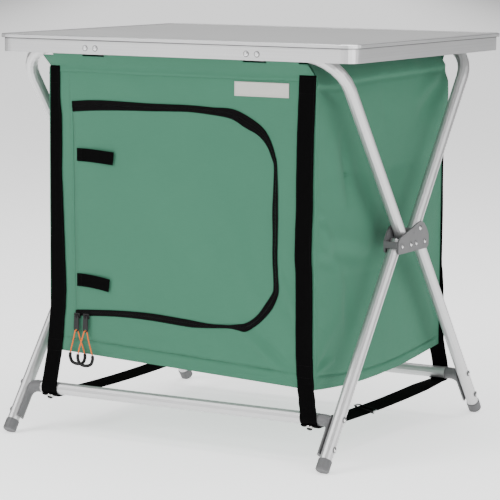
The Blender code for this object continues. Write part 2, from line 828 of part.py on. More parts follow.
def door_contour(grow_top, grow_side=None, grow_bottom=None, left=DOOR_LEFT, steps=10):
    """The zip's line, grown outwards by the given amounts. It runs clockwise from the
    top left, along the top, round two corners, down the right and back along the foot."""
    grow_side = grow_top if grow_side is None else grow_side
    grow_bottom = grow_top if grow_bottom is None else grow_bottom
    right = DOOR_RIGHT + grow_side
    corners = (
        (DOOR_TOP_R, DOOR_TOP - DOOR_TOP_R, DOOR_TOP + grow_top, math.pi / 2),
        (DOOR_BOTTOM_R, DOOR_BOTTOM + DOOR_BOTTOM_R, DOOR_BOTTOM - grow_bottom, 0),
    )
    points = [(left, DOOR_TOP + grow_top)]
    for radius, centre_z, edge_z, first in corners:
        centre_x = DOOR_RIGHT - radius
        for i in range(steps + 1):
            turn = first - math.pi / 2 * i / steps
            x = centre_x + (right - centre_x) * math.cos(turn)
            points.append((x, centre_z + abs(edge_z - centre_z) * math.sin(turn)))
    points.append((left, DOOR_BOTTOM - grow_bottom))
    return points


def make_front_panel():
    half = CABINET_HALF_WIDTH
    edge = [(-half, CABINET_BOTTOM), (half, CABINET_BOTTOM), (half, CABINET_TOP), (-half, CABINET_TOP)]
    hole = door_contour(ZIP_TEETH + GAP)
    at = (0, FRONT_FACE + CLOTH / 2, 0)
    return outline("front_panel", [edge, hole], CLOTH, FRONT_PLANE, at, GREEN_CLOTH)


def make_door_panel():
    edge = door_contour(-ZIP_TEETH - 2 * GAP, left=DOOR_LEFT + GAP)
    at = (0, FRONT_FACE + CLOTH / 2, 0)
    return outline("door_panel", [edge], CLOTH, FRONT_PLANE, at, GREEN_CLOTH)


def make_zip_tapes():
    """The tape with the teeth stays on the panel; the other tape opens with the door."""
    at = (0, FRONT_FACE - GAP - ZIP_TAPE / 2, 0)
    outer = door_contour(ZIP_OUTER_TOP, ZIP_OUTER_SIDE, ZIP_OUTER_BOTTOM)
    band = outer + door_contour(-ZIP_TEETH)[::-1]
    outline("zip_tape_panel", [band], ZIP_TAPE, FRONT_PLANE, at, BLACK_WEBBING)
    left = DOOR_LEFT + HINGE_SETBACK
    band = door_contour(-ZIP_TEETH - GAP, left=left) + door_contour(-ZIP_INNER, left=left)[::-1]
    outline("zip_tape_door", [band], ZIP_TAPE, FRONT_PLANE, at, BLACK_WEBBING)


def wall_bottom(u):
    return CABINET_BOTTOM - FLOOR_SAG * math.sin(math.pi * u)


def wall_top(u):
    return CABINET_TOP - TOP_SAG * math.sin(math.pi * u)


def bulge(u, height, crown):
    """How far a wall stands out. The floor, the shelves and the top hold it in."""
    levels = (CABINET_BOTTOM, *SHELF_HEIGHTS, CABINET_TOP)
    across = math.sin(math.pi * min(1, max(0, u))) ** FULLNESS
    for low, high in zip(levels, levels[1:]):
        if low < height < high:
            share = (height - low) / (high - low)
            lobe = HELD_SHARE + (1 - HELD_SHARE) * math.sin(math.pi * share) ** FULLNESS
            fold = FOLD_DEPTH * math.sin(math.tau * FOLD_COUNT * (u + FOLD_LEAN * share))
            return across * (crown * lobe + fold * math.sin(math.pi * share))
    return across * crown * HELD_SHARE * (height > CABINET_BOTTOM)


def make_side_panel(name, side):
    """A side wall. Above the top seam it leans inwards, as a flap under the tabletop."""
    reach = CABINET_HALF_DEPTH - CLOTH - GAP
    flap_top = RAIL_Z - FLAP_TOP_DROP

    def place(u, v):
        row = v * (WALL_ROWS + FLAP_ROWS)
        rise, lean = min(1, row / WALL_ROWS), max(0, row - WALL_ROWS) / FLAP_ROWS
        height = wall_bottom(u) + (wall_top(u) - wall_bottom(u)) * rise
        x = CABINET_HALF_WIDTH + bulge(u, height, SIDE_CROWN) * min(1, rise / SEAM_SHARE)
        x += (CABINET_HALF_WIDTH - FLAP_REACH - x) * lean
        ends = reach - FLAP_SETBACK * max(0, min(1, row - WALL_ROWS + 1))
        return side * x, -ends + 2 * ends * u, height + (flap_top - height) * lean

    return cloth(name, place, 16, WALL_ROWS + FLAP_ROWS, CLOTH, -side, GREEN_CLOTH)


def make_back_panel():
    """The back wall. It lies flat where the corner straps are sewn on it."""
    half = CABINET_HALF_WIDTH
    free = STRAP_TOP_X - STRAP_WIDTH / 2 - CLOTH

    def place(u, v):
        height = CABINET_BOTTOM + (CABINET_TOP - CABINET_BOTTOM) * v
        x = -half + 2 * half * u
        out = bulge((x + free) / (2 * free), height, BACK_CROWN)
        return x, CABINET_HALF_DEPTH + out * min(1, v / SEAM_SHARE), height

    return cloth("back_panel", place, 16, 20, CLOTH, 1, GREEN_CLOTH)


def make_floor_panel():
    half = CABINET_HALF_WIDTH - CLOTH - GAP
    reach = CABINET_HALF_DEPTH - CLOTH - GAP

    def place(u, v):
        return -half + 2 * half * u, -reach + 2 * reach * v, wall_bottom(v) + FLOOR_LIFT

    return cloth("floor_panel", place, 4, 16, CLOTH, 1, GREEN_CLOTH)


def make_sleeve(name, y_sign):
    """Loops of cloth round a rail, parted where the tabletop's clips hold it. Their
    common tail is sewn behind the top of the cabinet's wall."""
    radius = TUBE_R + GAP + SLEEVE_CLOTH / 2
    inside = CABINET_HALF_DEPTH - CLOTH - GAP - SLEEVE_CLOTH / 2
    half = CABINET_HALF_WIDTH - CLOTH - GAP - SLEEVE_CLOTH
    tail = [(-inside, CABINET_TOP - SLEEVE_TUCK), (-inside, CABINET_TOP)]
    rail = (-RAIL_Y, RAIL_Z)
    start = tangent_turn(rail, radius, tail[-1], -1)
    turn = arc(rail, radius, start, start - SLEEVE_TURN, 14)
    whole = [a + (b - a) * SLEEVE_WHOLE_SHARE for a, b in zip(tail[-1], turn[0])]
    notch = CLIP_WIDTH / 2 + SLEEVE_NOTCH
    straight = LEG_X - BEND_R
    right = [CLIP_X - notch, CLIP_X + notch, straight, half]
    columns = [-x for x in reversed(right)] + right
    work = bmesh.new()
    path = tail + [whole] + turn
    rows = [[work.verts.new((x, -y_sign * y, z)) for x in columns] for y, z in path]
    for vert in (rows[2][0], rows[2][-1]):
        vert.co.x = math.copysign(straight + SLEEVE_SHOULDER, vert.co.x)
    for r, (one, two) in enumerate(zip(rows, rows[1:])):
        for i in range(len(columns) - 1) if r < 2 else (1, 3, 5):
            work.faces.new((one[i], one[i + 1], two[i + 1], two[i]))
    loose = [vert for vert in work.verts if not vert.link_faces]
    bmesh.ops.delete(work, geom=loose, context="VERTS")
    mesh = bpy.data.meshes.new(name)
    work.to_mesh(mesh)
    work.free()
    return shade(solidify(new_object(name, mesh, GREEN_CLOTH), SLEEVE_CLOTH, 0))


def shelf_half_width(y, height):
    """Half the width between the side walls at a place on a shelf."""
    reach = CABINET_HALF_DEPTH - CLOTH - GAP
    u = (y + reach) / (2 * reach)
    return CABINET_HALF_WIDTH - CLOTH - GAP + bulge(u, height, SIDE_CROWN)


def make_shelf(name, height):
    """A cloth pocket sewn to the cabinet's walls, with a stiff board slid into it."""
    front = FRONT_FACE + CLOTH + SHELF_SETBACK
    rear = CABINET_HALF_DEPTH - CLOTH - GAP - CLOTH / 2
    low = height - SHELF_BOARD / 2 - GAP - CLOTH / 2
    high = height + SHELF_BOARD / 2 + GAP + CLOTH / 2
    places = [front + (rear - front) * i / 8 for i in range(9)]
    path = [(y, low) for y in places] + [(y, high) for y in reversed(places)]
    rows = []
    for y, z in path:
        half = shelf_half_width(y, height)
        rows.append([(-half, y, z), (0, y, z), (half, y, z)])
    strip(name, rows, CLOTH, GREEN_CLOTH)
    half = CABINET_HALF_WIDTH - 2 * CLOTH - GAP
    low = (-half, front + GAP, height - SHELF_BOARD / 2)
    high = (half, rear - CLOTH / 2 - GAP, height + SHELF_BOARD / 2)
    return box(name + "_board", low, high, HARDBOARD)


# Zip sliders and pulls


def slider_front():
    return FRONT_FACE - 2 * GAP - ZIP_TAPE - SLIDER_THICKNESS


def pull_axis(x):
    """The line that a pull tab swings on, through the middle of its slider's bail."""
    return Vector((x, slider_front() - BAIL_OFFSET, DOOR_BOTTOM - BAIL_DROP))


def make_slider(name, x):
    """Runs along the straight foot of the zip. A round bail on it holds the pull tab."""
    low = (x - SLIDER_LENGTH / 2, slider_front(), DOOR_BOTTOM - SLIDER_DROP)
    high = (x + SLIDER_LENGTH / 2, slider_front() + SLIDER_THICKNESS, DOOR_BOTTOM + ZIP_TEETH)
    slider = box(name, low, high, BLACK_PLASTIC, bevel=SLIDER_THICKNESS / 4)
    _, y, z = pull_axis(x)
    root = math.acos((BAIL_OFFSET + BAIL_WIRE_R) / BAIL_R)
    turns = arc((y, z), BAIL_R, root, math.tau - root, 12)
    bail = tube("bail_of_" + name, [(x, a, b) for a, b in turns], BAIL_WIRE_R, BLACK_PLASTIC,
                resolution=2)
    return combine(slider, as_mesh(bail), "UNION")


def make_pull_tab(name, x):
    """A tab that swings on the slider's bail, with an eye for the cord."""
    _, y, z = pull_axis(x)
    low = z - TAB_LENGTH
    half = TAB_WIDTH / 2
    edge = arc((0, low + half), half, math.pi, math.tau, 8)
    edge += [(TAB_NECK / 2, z + TAB_BAR / 2), (-TAB_NECK / 2, z + TAB_BAR / 2)]
    slot = circle((0, z - BAIL_R), TAB_SLOT_R, 10)
    eye = circle((0, low + TAB_EYE_RIM + TAB_EYE_R), TAB_EYE_R, 12)
    at = (x, y, 0)
    return outline(name, [edge, slot, eye], TAB_THICKNESS, FRONT_PLANE, at, BLACK_PLASTIC)


def make_pull_cord(name, x, forward, aside):
    """A loop of cord through the tab's eye. Its two strands part towards the grip."""
    axis = pull_axis(x)
    eye = -TAB_LENGTH + TAB_EYE_RIM + TAB_EYE_R
    step = TAB_THICKNESS / 2 + PULL_CORD_R + 2 * GAP
    half = GRIP_WIDTH / 2
    top = eye - TAB_EYE_R / 4
    foot = eye - PULL_CORD_DROP

    def strand(hand, reach, ahead, drop):
        across = (hand * half + aside) * reach
        out = -forward * ahead + hand * step * (1 - ahead)
        return Vector((across, out, top + (foot - top) * drop))

    there = [strand(-1, *shares) for shares in STRAND_SHARES]
    back = [strand(1, *shares) for shares in reversed(STRAND_SHARES)]
    points = [axis + point for point in smooth_path(there + [Vector((0, 0, top))] + back, 3)]
    return tube(name, points, PULL_CORD_R, ORANGE_CORD, resolution=2)


def make_pull_grip(name, x, forward, aside):
    """A bent plastic grip, open at the top, where the cord's ends enter it."""
    axis = pull_axis(x)
    foot = -TAB_LENGTH + TAB_EYE_RIM + TAB_EYE_R - PULL_CORD_DROP - 2 * GAP
    half = GRIP_WIDTH / 2
    turn = arc((aside, foot - GRIP_DROP + half), half, math.pi, math.tau, 12)
    bow = [(aside - half, foot)] + turn + [(aside + half, foot)]
    points = [(axis.x + dx, axis.y - forward, axis.z + dz) for dx, dz in bow]
    return tube(name, points, GRIP_R, BLACK_PLASTIC, resolution=3)


def make_hold_tab(name, length, height):
    """A webbing tab at the door's hinge, which holds the door when it is rolled up."""
    left = DOOR_LEFT + HINGE_SETBACK + ZIP_TAPE
    back = FRONT_FACE - GAP
    low = (left, back - HOLD_TAB_THICKNESS, height - HOLD_TAB_WIDTH / 2)
    high = (left + length, back, height + HOLD_TAB_WIDTH / 2)
    return box(name, low, high, BLACK_WEBBING)


def make_label():
    low = (LABEL_LEFT, FRONT_FACE - GAP - LABEL_THICKNESS, LABEL_Z - LABEL_HEIGHT / 2)
    high = (LABEL_LEFT + LABEL_WIDTH, FRONT_FACE - GAP, LABEL_Z + LABEL_HEIGHT / 2)
    return box("blank_label", low, high, LABEL_CLOTH)


# Straps


def make_corner_strap(name, y_sign, side):
    """Straight down a corner of the cabinet, then outwards and round under the cross tube."""
    face = CABINET_HALF_DEPTH + GAP + STRAP / 2
    radius = TUBE_R + GAP + STRAP / 2
    path = [(face, CABINET_TOP), (face, (CABINET_TOP + STRAP_LEAVE_Z) / 2), (face, STRAP_LEAVE_Z)]
    centre = (CROSS_Y, CROSS_Z)
    first = tangent_turn(centre, radius, path[-1], -1)
    path += arc(centre, radius, first, first - STRAP_TURN, 12)
    points = []
    for y, z in path:
        share = min(1, max(0, STRAP_LEAVE_Z - z) / (STRAP_LEAVE_Z - CROSS_Z))
        x = STRAP_TOP_X + (STRAP_FOOT_X - STRAP_TOP_X) * share
        points.append((side * x, y_sign * y, z))
    return shade(ribbon(name, points, STRAP_WIDTH, STRAP, BLACK_WEBBING))


def spreader_radius():
    return TUBE_R + 2 * GAP + 1.5 * STRAP


def make_spreader_strap(name, side):
    """From the front cross tube to the rear one, under both: it sets the legs' spread.
    Press studs at its turned-up ends join it to the corner straps' loops."""
    turn = arc((CROSS_Y, CROSS_Z), spreader_radius(), SPREADER_END_TURN, -math.pi / 2, 5)
    whole = turn + [(-y, z) for y, z in reversed(turn)]
    points = [(side * STRAP_FOOT_X, y, z) for y, z in whole]
    strap = as_mesh(ribbon(name, points, STRAP_WIDTH, STRAP, BLACK_WEBBING))
    stud = rivet_mesh(STUD_R, STUD_HEIGHT, STUD_R / 2, STRAP / 2)
    reach = spreader_radius() + STRAP / 4
    across, down = math.cos(STUD_TURN), math.sin(STUD_TURN)
    places = []
    for y_sign in (-1, 1):
        at = (side * STRAP_FOOT_X, y_sign * (CROSS_Y + reach * across), CROSS_Z + reach * down)
        places.append(Matrix.Translation(at) @ facing((0, y_sign * across, down)))
    return combine(strap, copies("studs_of_" + name, stud, places, ALUMINIUM), "UNION")


def make_buckle(name, side, y):
    """An adjuster that the spreader strap runs through."""
    slot_x = STRAP_WIDTH / 2 + GAP
    slot_z = STRAP / 2 + GAP
    level = CROSS_Z - spreader_radius()
    contours = []
    for grow in (BUCKLE_WALL, 0):
        half_x, half_z = slot_x + grow, slot_z + grow
        contours.append([(-half_x, -half_z), (half_x, -half_z), (half_x, half_z), (-half_x, half_z)])
    at = (side * STRAP_FOOT_X, y, level)
    return outline(name, contours, BUCKLE_LENGTH, FRONT_PLANE, at, BLACK_PLASTIC)


def hang_on(name, at, pieces, parent=None):
    """An empty on a joint's axis, which carries the pieces that move with it."""
    empty = bpy.data.objects.new(name, None)
    empty.location = at
    PARTS.objects.link(empty)
    bpy.context.view_layer.update()
    for piece in pieces + ([empty] if parent else []):
        holder = parent if piece == empty else empty
        piece.parent = holder
        piece.matrix_parent_inverse = holder.matrix_world.inverted()
    bpy.context.view_layer.update()
    return empty


def make_frame():
    """The rear top tube, the front legs and the outer plates turn about the pivots."""
    turning = []
    make_top_frame("front_top_frame", -1, FRONT_TOP_END_Z)
    turning.append(make_top_frame("rear_top_frame", 1, REAR_TOP_END_Z))
    ends = ((-1, "front", FRONT_LEG_END_Z, turning), (1, "rear", REAR_LEG_END_Z, []))
    for y_sign, end, top_z, member in ends:
        member.append(make_cross_tube(end + "_cross_tube", y_sign))
        for side, hand in HANDS:
            member.append(make_leg(f"{end}_leg_{hand}", y_sign, side, top_z))
            member.append(make_elbow(f"{end}_elbow_{hand}", y_sign, side))
            member.append(make_foot(f"{end}_foot_{hand}", y_sign, side))
    for side, hand in HANDS:
        turning.append(make_outer_plate("hinge_plate_" + hand, side))
        make_inner_bracket("hinge_bracket_" + hand, side)
        make_pivot_pin("pivot_pin_" + hand, side)
    hang_on("frame_pivot", (0, 0, PIVOT_Z), turning)


def make_tabletop():
    pieces = [make_tabletop_board(), make_tabletop_edge(), make_rear_stop()]
    pieces += [make_rail_clip("rail_clip_" + hand, side) for side, hand in HANDS]
    hang_on("tabletop_pivot", (0, -RAIL_Y, RAIL_Z), pieces)


def make_walls():
    make_front_panel()
    for side, hand in HANDS:
        make_side_panel("side_panel_" + hand, side)
    make_back_panel()
    make_floor_panel()
    make_sleeve("front_sleeve", -1)
    make_sleeve("rear_sleeve", 1)
    for name, height in zip(("lower_shelf", "upper_shelf"), SHELF_HEIGHTS):
        make_shelf(name, height)
    make_label()


def make_door():
    door = make_door_panel()
    make_zip_tapes()
    tape = bpy.data.objects["zip_tape_door"]
    hinge = hang_on("door_hinge", (DOOR_LEFT, FRONT_FACE, 0), [door, tape])
    for name, length, height in zip(("upper", "lower"), HOLD_TAB_LENGTHS, HOLD_TAB_HEIGHTS):
        tab = make_hold_tab(name + "_hold_tab", length, height)
        left = DOOR_LEFT + HINGE_SETBACK + ZIP_TAPE
        hang_on(name + "_hold_tab_hinge", (left, FRONT_FACE - GAP, height), [tab], hinge)


def make_pulls():
    for (_, hand), x, forward, aside in zip(HANDS, SLIDER_X, (0, GRIP_FORWARD), GRIP_ASIDE):
        slider = make_slider(hand + "_zip_slider", x)
        carrier = hang_on(hand + "_slider_carrier", (x, FRONT_FACE, DOOR_BOTTOM), [slider])
        pull = [
            make_pull_tab(hand + "_pull_tab", x),
            make_pull_cord(hand + "_pull_cord", x, forward, aside),
            make_pull_grip(hand + "_pull_grip", x, forward, aside),
        ]
        hang_on(hand + "_pull_axis", pull_axis(x), pull, carrier)


def make_straps():
    for (side, hand), y in zip(HANDS, BUCKLE_Y):
        make_corner_strap("front_strap_" + hand, -1, side)
        make_corner_strap("rear_strap_" + hand, 1, side)
        make_spreader_strap("spreader_strap_" + hand, side)
        make_buckle("strap_buckle_" + hand, side, y)


make_frame()
make_tabletop()
make_walls()
make_door()
make_pulls()
make_straps()
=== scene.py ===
import json
import math

import bmesh
import bpy
from mathutils import Matrix, Vector, noise

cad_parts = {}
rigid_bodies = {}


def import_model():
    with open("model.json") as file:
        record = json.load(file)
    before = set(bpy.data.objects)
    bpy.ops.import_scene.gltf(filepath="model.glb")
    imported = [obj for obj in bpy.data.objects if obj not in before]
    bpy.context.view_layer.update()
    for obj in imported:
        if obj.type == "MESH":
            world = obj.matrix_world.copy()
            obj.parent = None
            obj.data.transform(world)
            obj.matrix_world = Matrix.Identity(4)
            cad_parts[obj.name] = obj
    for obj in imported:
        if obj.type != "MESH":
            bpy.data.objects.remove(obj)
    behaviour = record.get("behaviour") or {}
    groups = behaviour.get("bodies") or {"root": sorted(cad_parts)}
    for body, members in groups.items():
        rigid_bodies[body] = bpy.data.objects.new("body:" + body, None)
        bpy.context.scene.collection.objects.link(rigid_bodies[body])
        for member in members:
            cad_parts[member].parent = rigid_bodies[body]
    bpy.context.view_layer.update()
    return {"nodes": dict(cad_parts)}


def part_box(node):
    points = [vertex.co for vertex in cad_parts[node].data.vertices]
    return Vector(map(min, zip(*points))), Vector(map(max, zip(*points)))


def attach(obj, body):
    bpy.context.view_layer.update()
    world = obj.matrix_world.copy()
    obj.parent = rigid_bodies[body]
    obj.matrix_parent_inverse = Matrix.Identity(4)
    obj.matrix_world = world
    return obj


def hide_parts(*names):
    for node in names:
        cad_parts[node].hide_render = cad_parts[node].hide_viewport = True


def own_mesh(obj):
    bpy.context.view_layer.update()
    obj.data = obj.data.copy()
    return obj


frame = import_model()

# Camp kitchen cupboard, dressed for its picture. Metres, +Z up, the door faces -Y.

NODES = frame["nodes"]
MM = 0.001

# Places read from the model
PANEL_LOW, PANEL_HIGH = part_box("front_panel")
BACK_LOW, BACK_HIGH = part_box("back_panel")
FRONT_FACE = PANEL_LOW.y
BACK_FACE = -FRONT_FACE
HALF_WIDTH = PANEL_HIGH.x
CABINET_BOTTOM = PANEL_LOW.z
CABINET_TOP = PANEL_HIGH.z
RAIL_Z = (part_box("front_top_frame")[1].z - 9.5 * MM)
RAIL_Y = 231.38 * MM
CROSS_Z = 69 * MM
CROSS_Y = 220 * MM
TUBE_R = 9.5 * MM
LEG_X = 276 * MM
SHELF_HEIGHTS = (268 * MM, 420 * MM)

# Cloth and webbing
GAP = 0.3 * MM
CLOTH = 1.0 * MM
HEM = 0.5 * MM
STRAP = 1.5 * MM
STRAP_WIDTH = 28 * MM
SIDE_CROWN = 6 * MM
BACK_CROWN = 5 * MM
FLOOR_SAG = 15 * MM
SEAM_ROLL = 2.6 * MM
FLAP_REACH = 24 * MM
FLAP_TOP = RAIL_Z - 6.2 * MM

# The side walls' top seam: place along the wall and height, found like the zip's line and
# rounded
TOP_SEAM = (
    (-214.2, 559.0), (-191.0, 557.0), (-154.0, 556.0), (-101.0, 561.5), (0.0, 563.5), (110.0, 564.5),
    (194.0, 566.0), (214.2, 567.0),
)
# How far the side wall puffs out over the rear strap, by height
REAR_PUFF = ((572, 1.8), (561, 3.8), (541, 9.4), (522, 9.9), (490, 7.0), (455, 3.0), (420, 0.0))
# Corner straps: height, middle, and the corner that a strap folds round. The front right
# one's upper rows are a measuring script's readings of the photo, through the fitted camera,
# and the front left one's follow such readings.
STRAP_FRONT_RIGHT = (
    (573, 219.0, 233.0), (554, 218.3, 233.0), (520, 217.2, 233.0), (485, 215.9, 233.0), (450, 215.5, 233.0),
    (415, 215.0, 233.0), (379, 215.4, 233.0), (344, 214.1, 233.0), (309, 213.7, 233.0), (273, 215.7, 234.0),
    (238, 216.2, 235.0), (202, 216.5, 236.0), (166, 216.9, 240.0), (131, 218.6, 250.0), (113, 221.6, 250.0),
    (95, 226.5, 250.0), (77, 231.2, 250.0), (55, 233.2, 250.0),
)
STRAP_FRONT_LEFT = (
    (573, 226.8, 230.4), (528, 227.0, 230.6), (490, 223.6, 230.8), (450, 223.4, 231.0), (410, 224.0, 231.0),
    (370, 222.2, 231.0), (330, 220.6, 231.0), (286, 219.0, 231.1), (249, 217.4, 231.3), (230, 216.6, 231.6),
    (200, 217.8, 232.8), (173, 220.6, 235.0), (154, 221.9, 238.0), (134, 224.6, 244.0), (115, 226.2, 250.0),
    (96, 226.5, 250.0), (76, 226.9, 250.0), (55, 227.0, 250.0),
)
STRAP_REAR_RIGHT = (
    (573, 220.0, 250.0), (390, 221.3, 250.0), (330, 222.0, 250.0), (250, 221.7, 250.0), (230, 224.0, 250.0),
    (205, 225.4, 250.0), (140, 226.6, 250.0), (110, 228.4, 250.0), (86, 230.3, 250.0), (55, 231.5, 250.0),
)
STRAP_REAR_LEFT = (
    (573, 220.0, 260.0), (390, 221.3, 260.0), (250, 221.7, 260.0), (205, 226.0, 260.0), (140, 229.3, 260.0),
    (110, 232.5, 260.0), (86, 234.5, 260.0), (55, 235.5, 260.0),
)
STRAP_TABLES = {
    (-1, 1): STRAP_FRONT_RIGHT,
    (-1, -1): STRAP_FRONT_LEFT,
    (1, 1): STRAP_REAR_RIGHT,
    (1, -1): STRAP_REAR_LEFT,
}
STRAP_TURN = 2.4
STUD_TURN = -1.10
SPREADER_SAG = 4 * MM
SPREADER_ROLL = math.radians(11)
# The seam along the door's hinge, after places found like the zip's line, and how far
# further left it is sewn
HINGE_SEAM = (
    (-193.9, 566), (-191.6, 523), (-190.6, 480), (-188.6, 417), (-186.8, 340), (-185.6, 290),
    (-184.6, 227), (-184.4, 170), (-185.5, 140),
)
HINGE_SEAM_SHIFT = 4 * MM

# The zip's middle line and the width of its tape, from the top left round to the foot. A
# script worked them out, through the fitted camera, from edges picked by hand in the photo.
ZIP_LINE = (
    (-190.4, 510.6, 16.2), (-160.0, 513.2, 16.0), (-129.1, 514.4, 15.1), (-88.0, 514.9, 13.0),
    (-46.9, 515.0, 11.5), (-13.0, 515.6, 10.6), (20.2, 516.0, 10.3), (59.9, 513.8, 11.4),
    (92.7, 511.0, 15.0), (118.7, 499.4, 17.2), (140.8, 487.0, 14.0), (155.1, 469.6, 9.4),
    (163.7, 449.3, 6.9), (166.4, 436.5, 5.4), (166.6, 402.7, 7.7), (166.2, 368.8, 9.4),
    (166.7, 334.8, 8.7), (166.6, 301.7, 8.0), (168.1, 275.0, 8.2), (168.9, 258.0, 8.8),
    (166.8, 247.4, 9.6), (157.8, 230.2, 13.0), (143.1, 212.2, 11.6), (128.2, 200.0, 11.2),
    (116.0, 193.6, 12.2), (105.5, 193.2, 9.4), (88.2, 192.5, 4.8), (61.6, 191.1, 6.0),
    (41.6, 190.8, 8.3), (17.4, 191.6, 11.0), (-46.5, 195.4, 11.1), (-101.8, 195.7, 9.7),
    (-157.9, 192.7, 9.5), (-184.8, 190.6, 9.7),
)
# Folds: two ends on the wall, how far it stands out there, and how wide it is
FRONT_FOLDS = (
    (122, 180, 182, 132, 2.6, 7), (134, 190, 196, 142, -2.0, 8), (148, 186, 190, 152, 1.2, 6),
    (176, 276, 200, 226, 1.6, 6), (168, 250, 196, 205, -1.2, 7), (-56, 174, -46, 150, -1.3, 5),
    (-44, 178, -34, 148, 0.9, 6), (4, 176, 24, 140, -1.6, 5), (18, 178, 38, 142, 1.1, 6),
    (-196, 330, -203, 270, 1.0, 6), (-196, 240, -204, 190, -1.0, 6), (-150, 168, -120, 150, 0.8, 8),
    (60, 176, 84, 146, 0.9, 8), (182, 560, 176, 470, 0.7, 8), (-90, 560, -70, 528, 0.8, 12),
    (30, 562, 44, 530, -0.7, 10),
)
DOOR_FOLDS = (
    (60, 440, 108, 250, 1.4, 26), (-20, 480, 10, 230, -1.0, 34), (118, 400, 132, 240, -1.4, 20),
    (-120, 470, -104, 230, 0.8, 30), (72, 330, 118, 214, -1.2, 16), (136, 450, 146, 300, 0.9, 14),
    (-150, 300, -60, 214, 0.8, 20), (96, 300, 140, 232, 1.0, 12), (-60, 500, -30, 330, 0.8, 28),
)
SIDE_FOLDS = (
    (-141, 470, -120, 424, -2.6, 12), (-120, 424, -116, 384, -2.0, 11), (-160, 470, -146, 392, 2.0, 16),
    (-186, 344, -168, 312, 2.4, 9), (-168, 312, -56, 288, -3.0, 11), (-160, 330, -60, 306, 2.2, 13),
    (-222, 366, -190, 357, -1.5, 4), (-222, 374, -192, 368, 1.0, 4), (-216, 306, -160, 288, -2.0, 8),
    (-219, 318, -180, 303, 1.6, 6), (-87, 432, -52, 362, -1.6, 14), (-62, 446, -28, 372, 1.4, 18),
    (-126, 263, -104, 202, -2.2, 14), (-150, 262, -134, 196, 1.6, 14), (-212, 134, -158, 148, 2.0, 6),
    (-212, 138, -176, 158, -1.6, 5), (-208, 150, -150, 205, 1.2, 9), (-147, 282, -116, 232, 1.4, 12),
    (-116, 232, -120, 168, -1.8, 16), (128, 500, 206, 548, -3.2, 15), (112, 520, 196, 560, 2.0, 12),
    (-12, 528, 2, 500, -1.4, 8), (162, 216, 196, 166, -1.4, 9), (40, 250, 70, 170, 1.2, 22),
    (30, 400, 60, 300, -1.3, 24), (130, 420, 160, 300, 1.4, 22), (-200, 556, -150, 530, -1.5, 8),
    (-214, 262, -196, 250, -1.0, 4), (-214, 240, -190, 228, 1.0, 5), (-214, 212, -186, 196, -1.0, 5),
)
BOTTOM_SEAM = 21 * MM
SIDE_SEAM = 15 * MM

# Camera, as it stood for the photograph
CAMERA_TARGET = Vector((-8.6 * MM, 18 * MM, 274.7 * MM))
CAMERA_DISTANCE = 3.7943
CAMERA_YAW = 0.5161
CAMERA_PITCH = 0.1339
CAMERA_ROLL = 0.0067
CAMERA_LENS = 171.35


def make_camera():
    yaw, pitch = CAMERA_YAW, CAMERA_PITCH
    forward = Vector((-math.sin(yaw) * math.cos(pitch), math.cos(yaw) * math.cos(pitch), -math.sin(pitch)))
    right = Vector((math.cos(yaw), math.sin(yaw), 0))
    up = right.cross(forward)
    across = right * math.cos(CAMERA_ROLL) + up * math.sin(CAMERA_ROLL)
    above = up * math.cos(CAMERA_ROLL) - right * math.sin(CAMERA_ROLL)
    data = bpy.data.cameras.new("camera")
    data.lens = CAMERA_LENS
    data.sensor_width = 36
    data.clip_end = 100
    camera = bpy.data.objects.new("camera", data)
    turn = Matrix((across, above, -forward)).transposed()
    camera.matrix_world = Matrix.Translation(CAMERA_TARGET - forward * CAMERA_DISTANCE) @ turn.to_4x4()
    bpy.context.scene.collection.objects.link(camera)
    bpy.context.scene.camera = camera


make_camera()


# Finishes


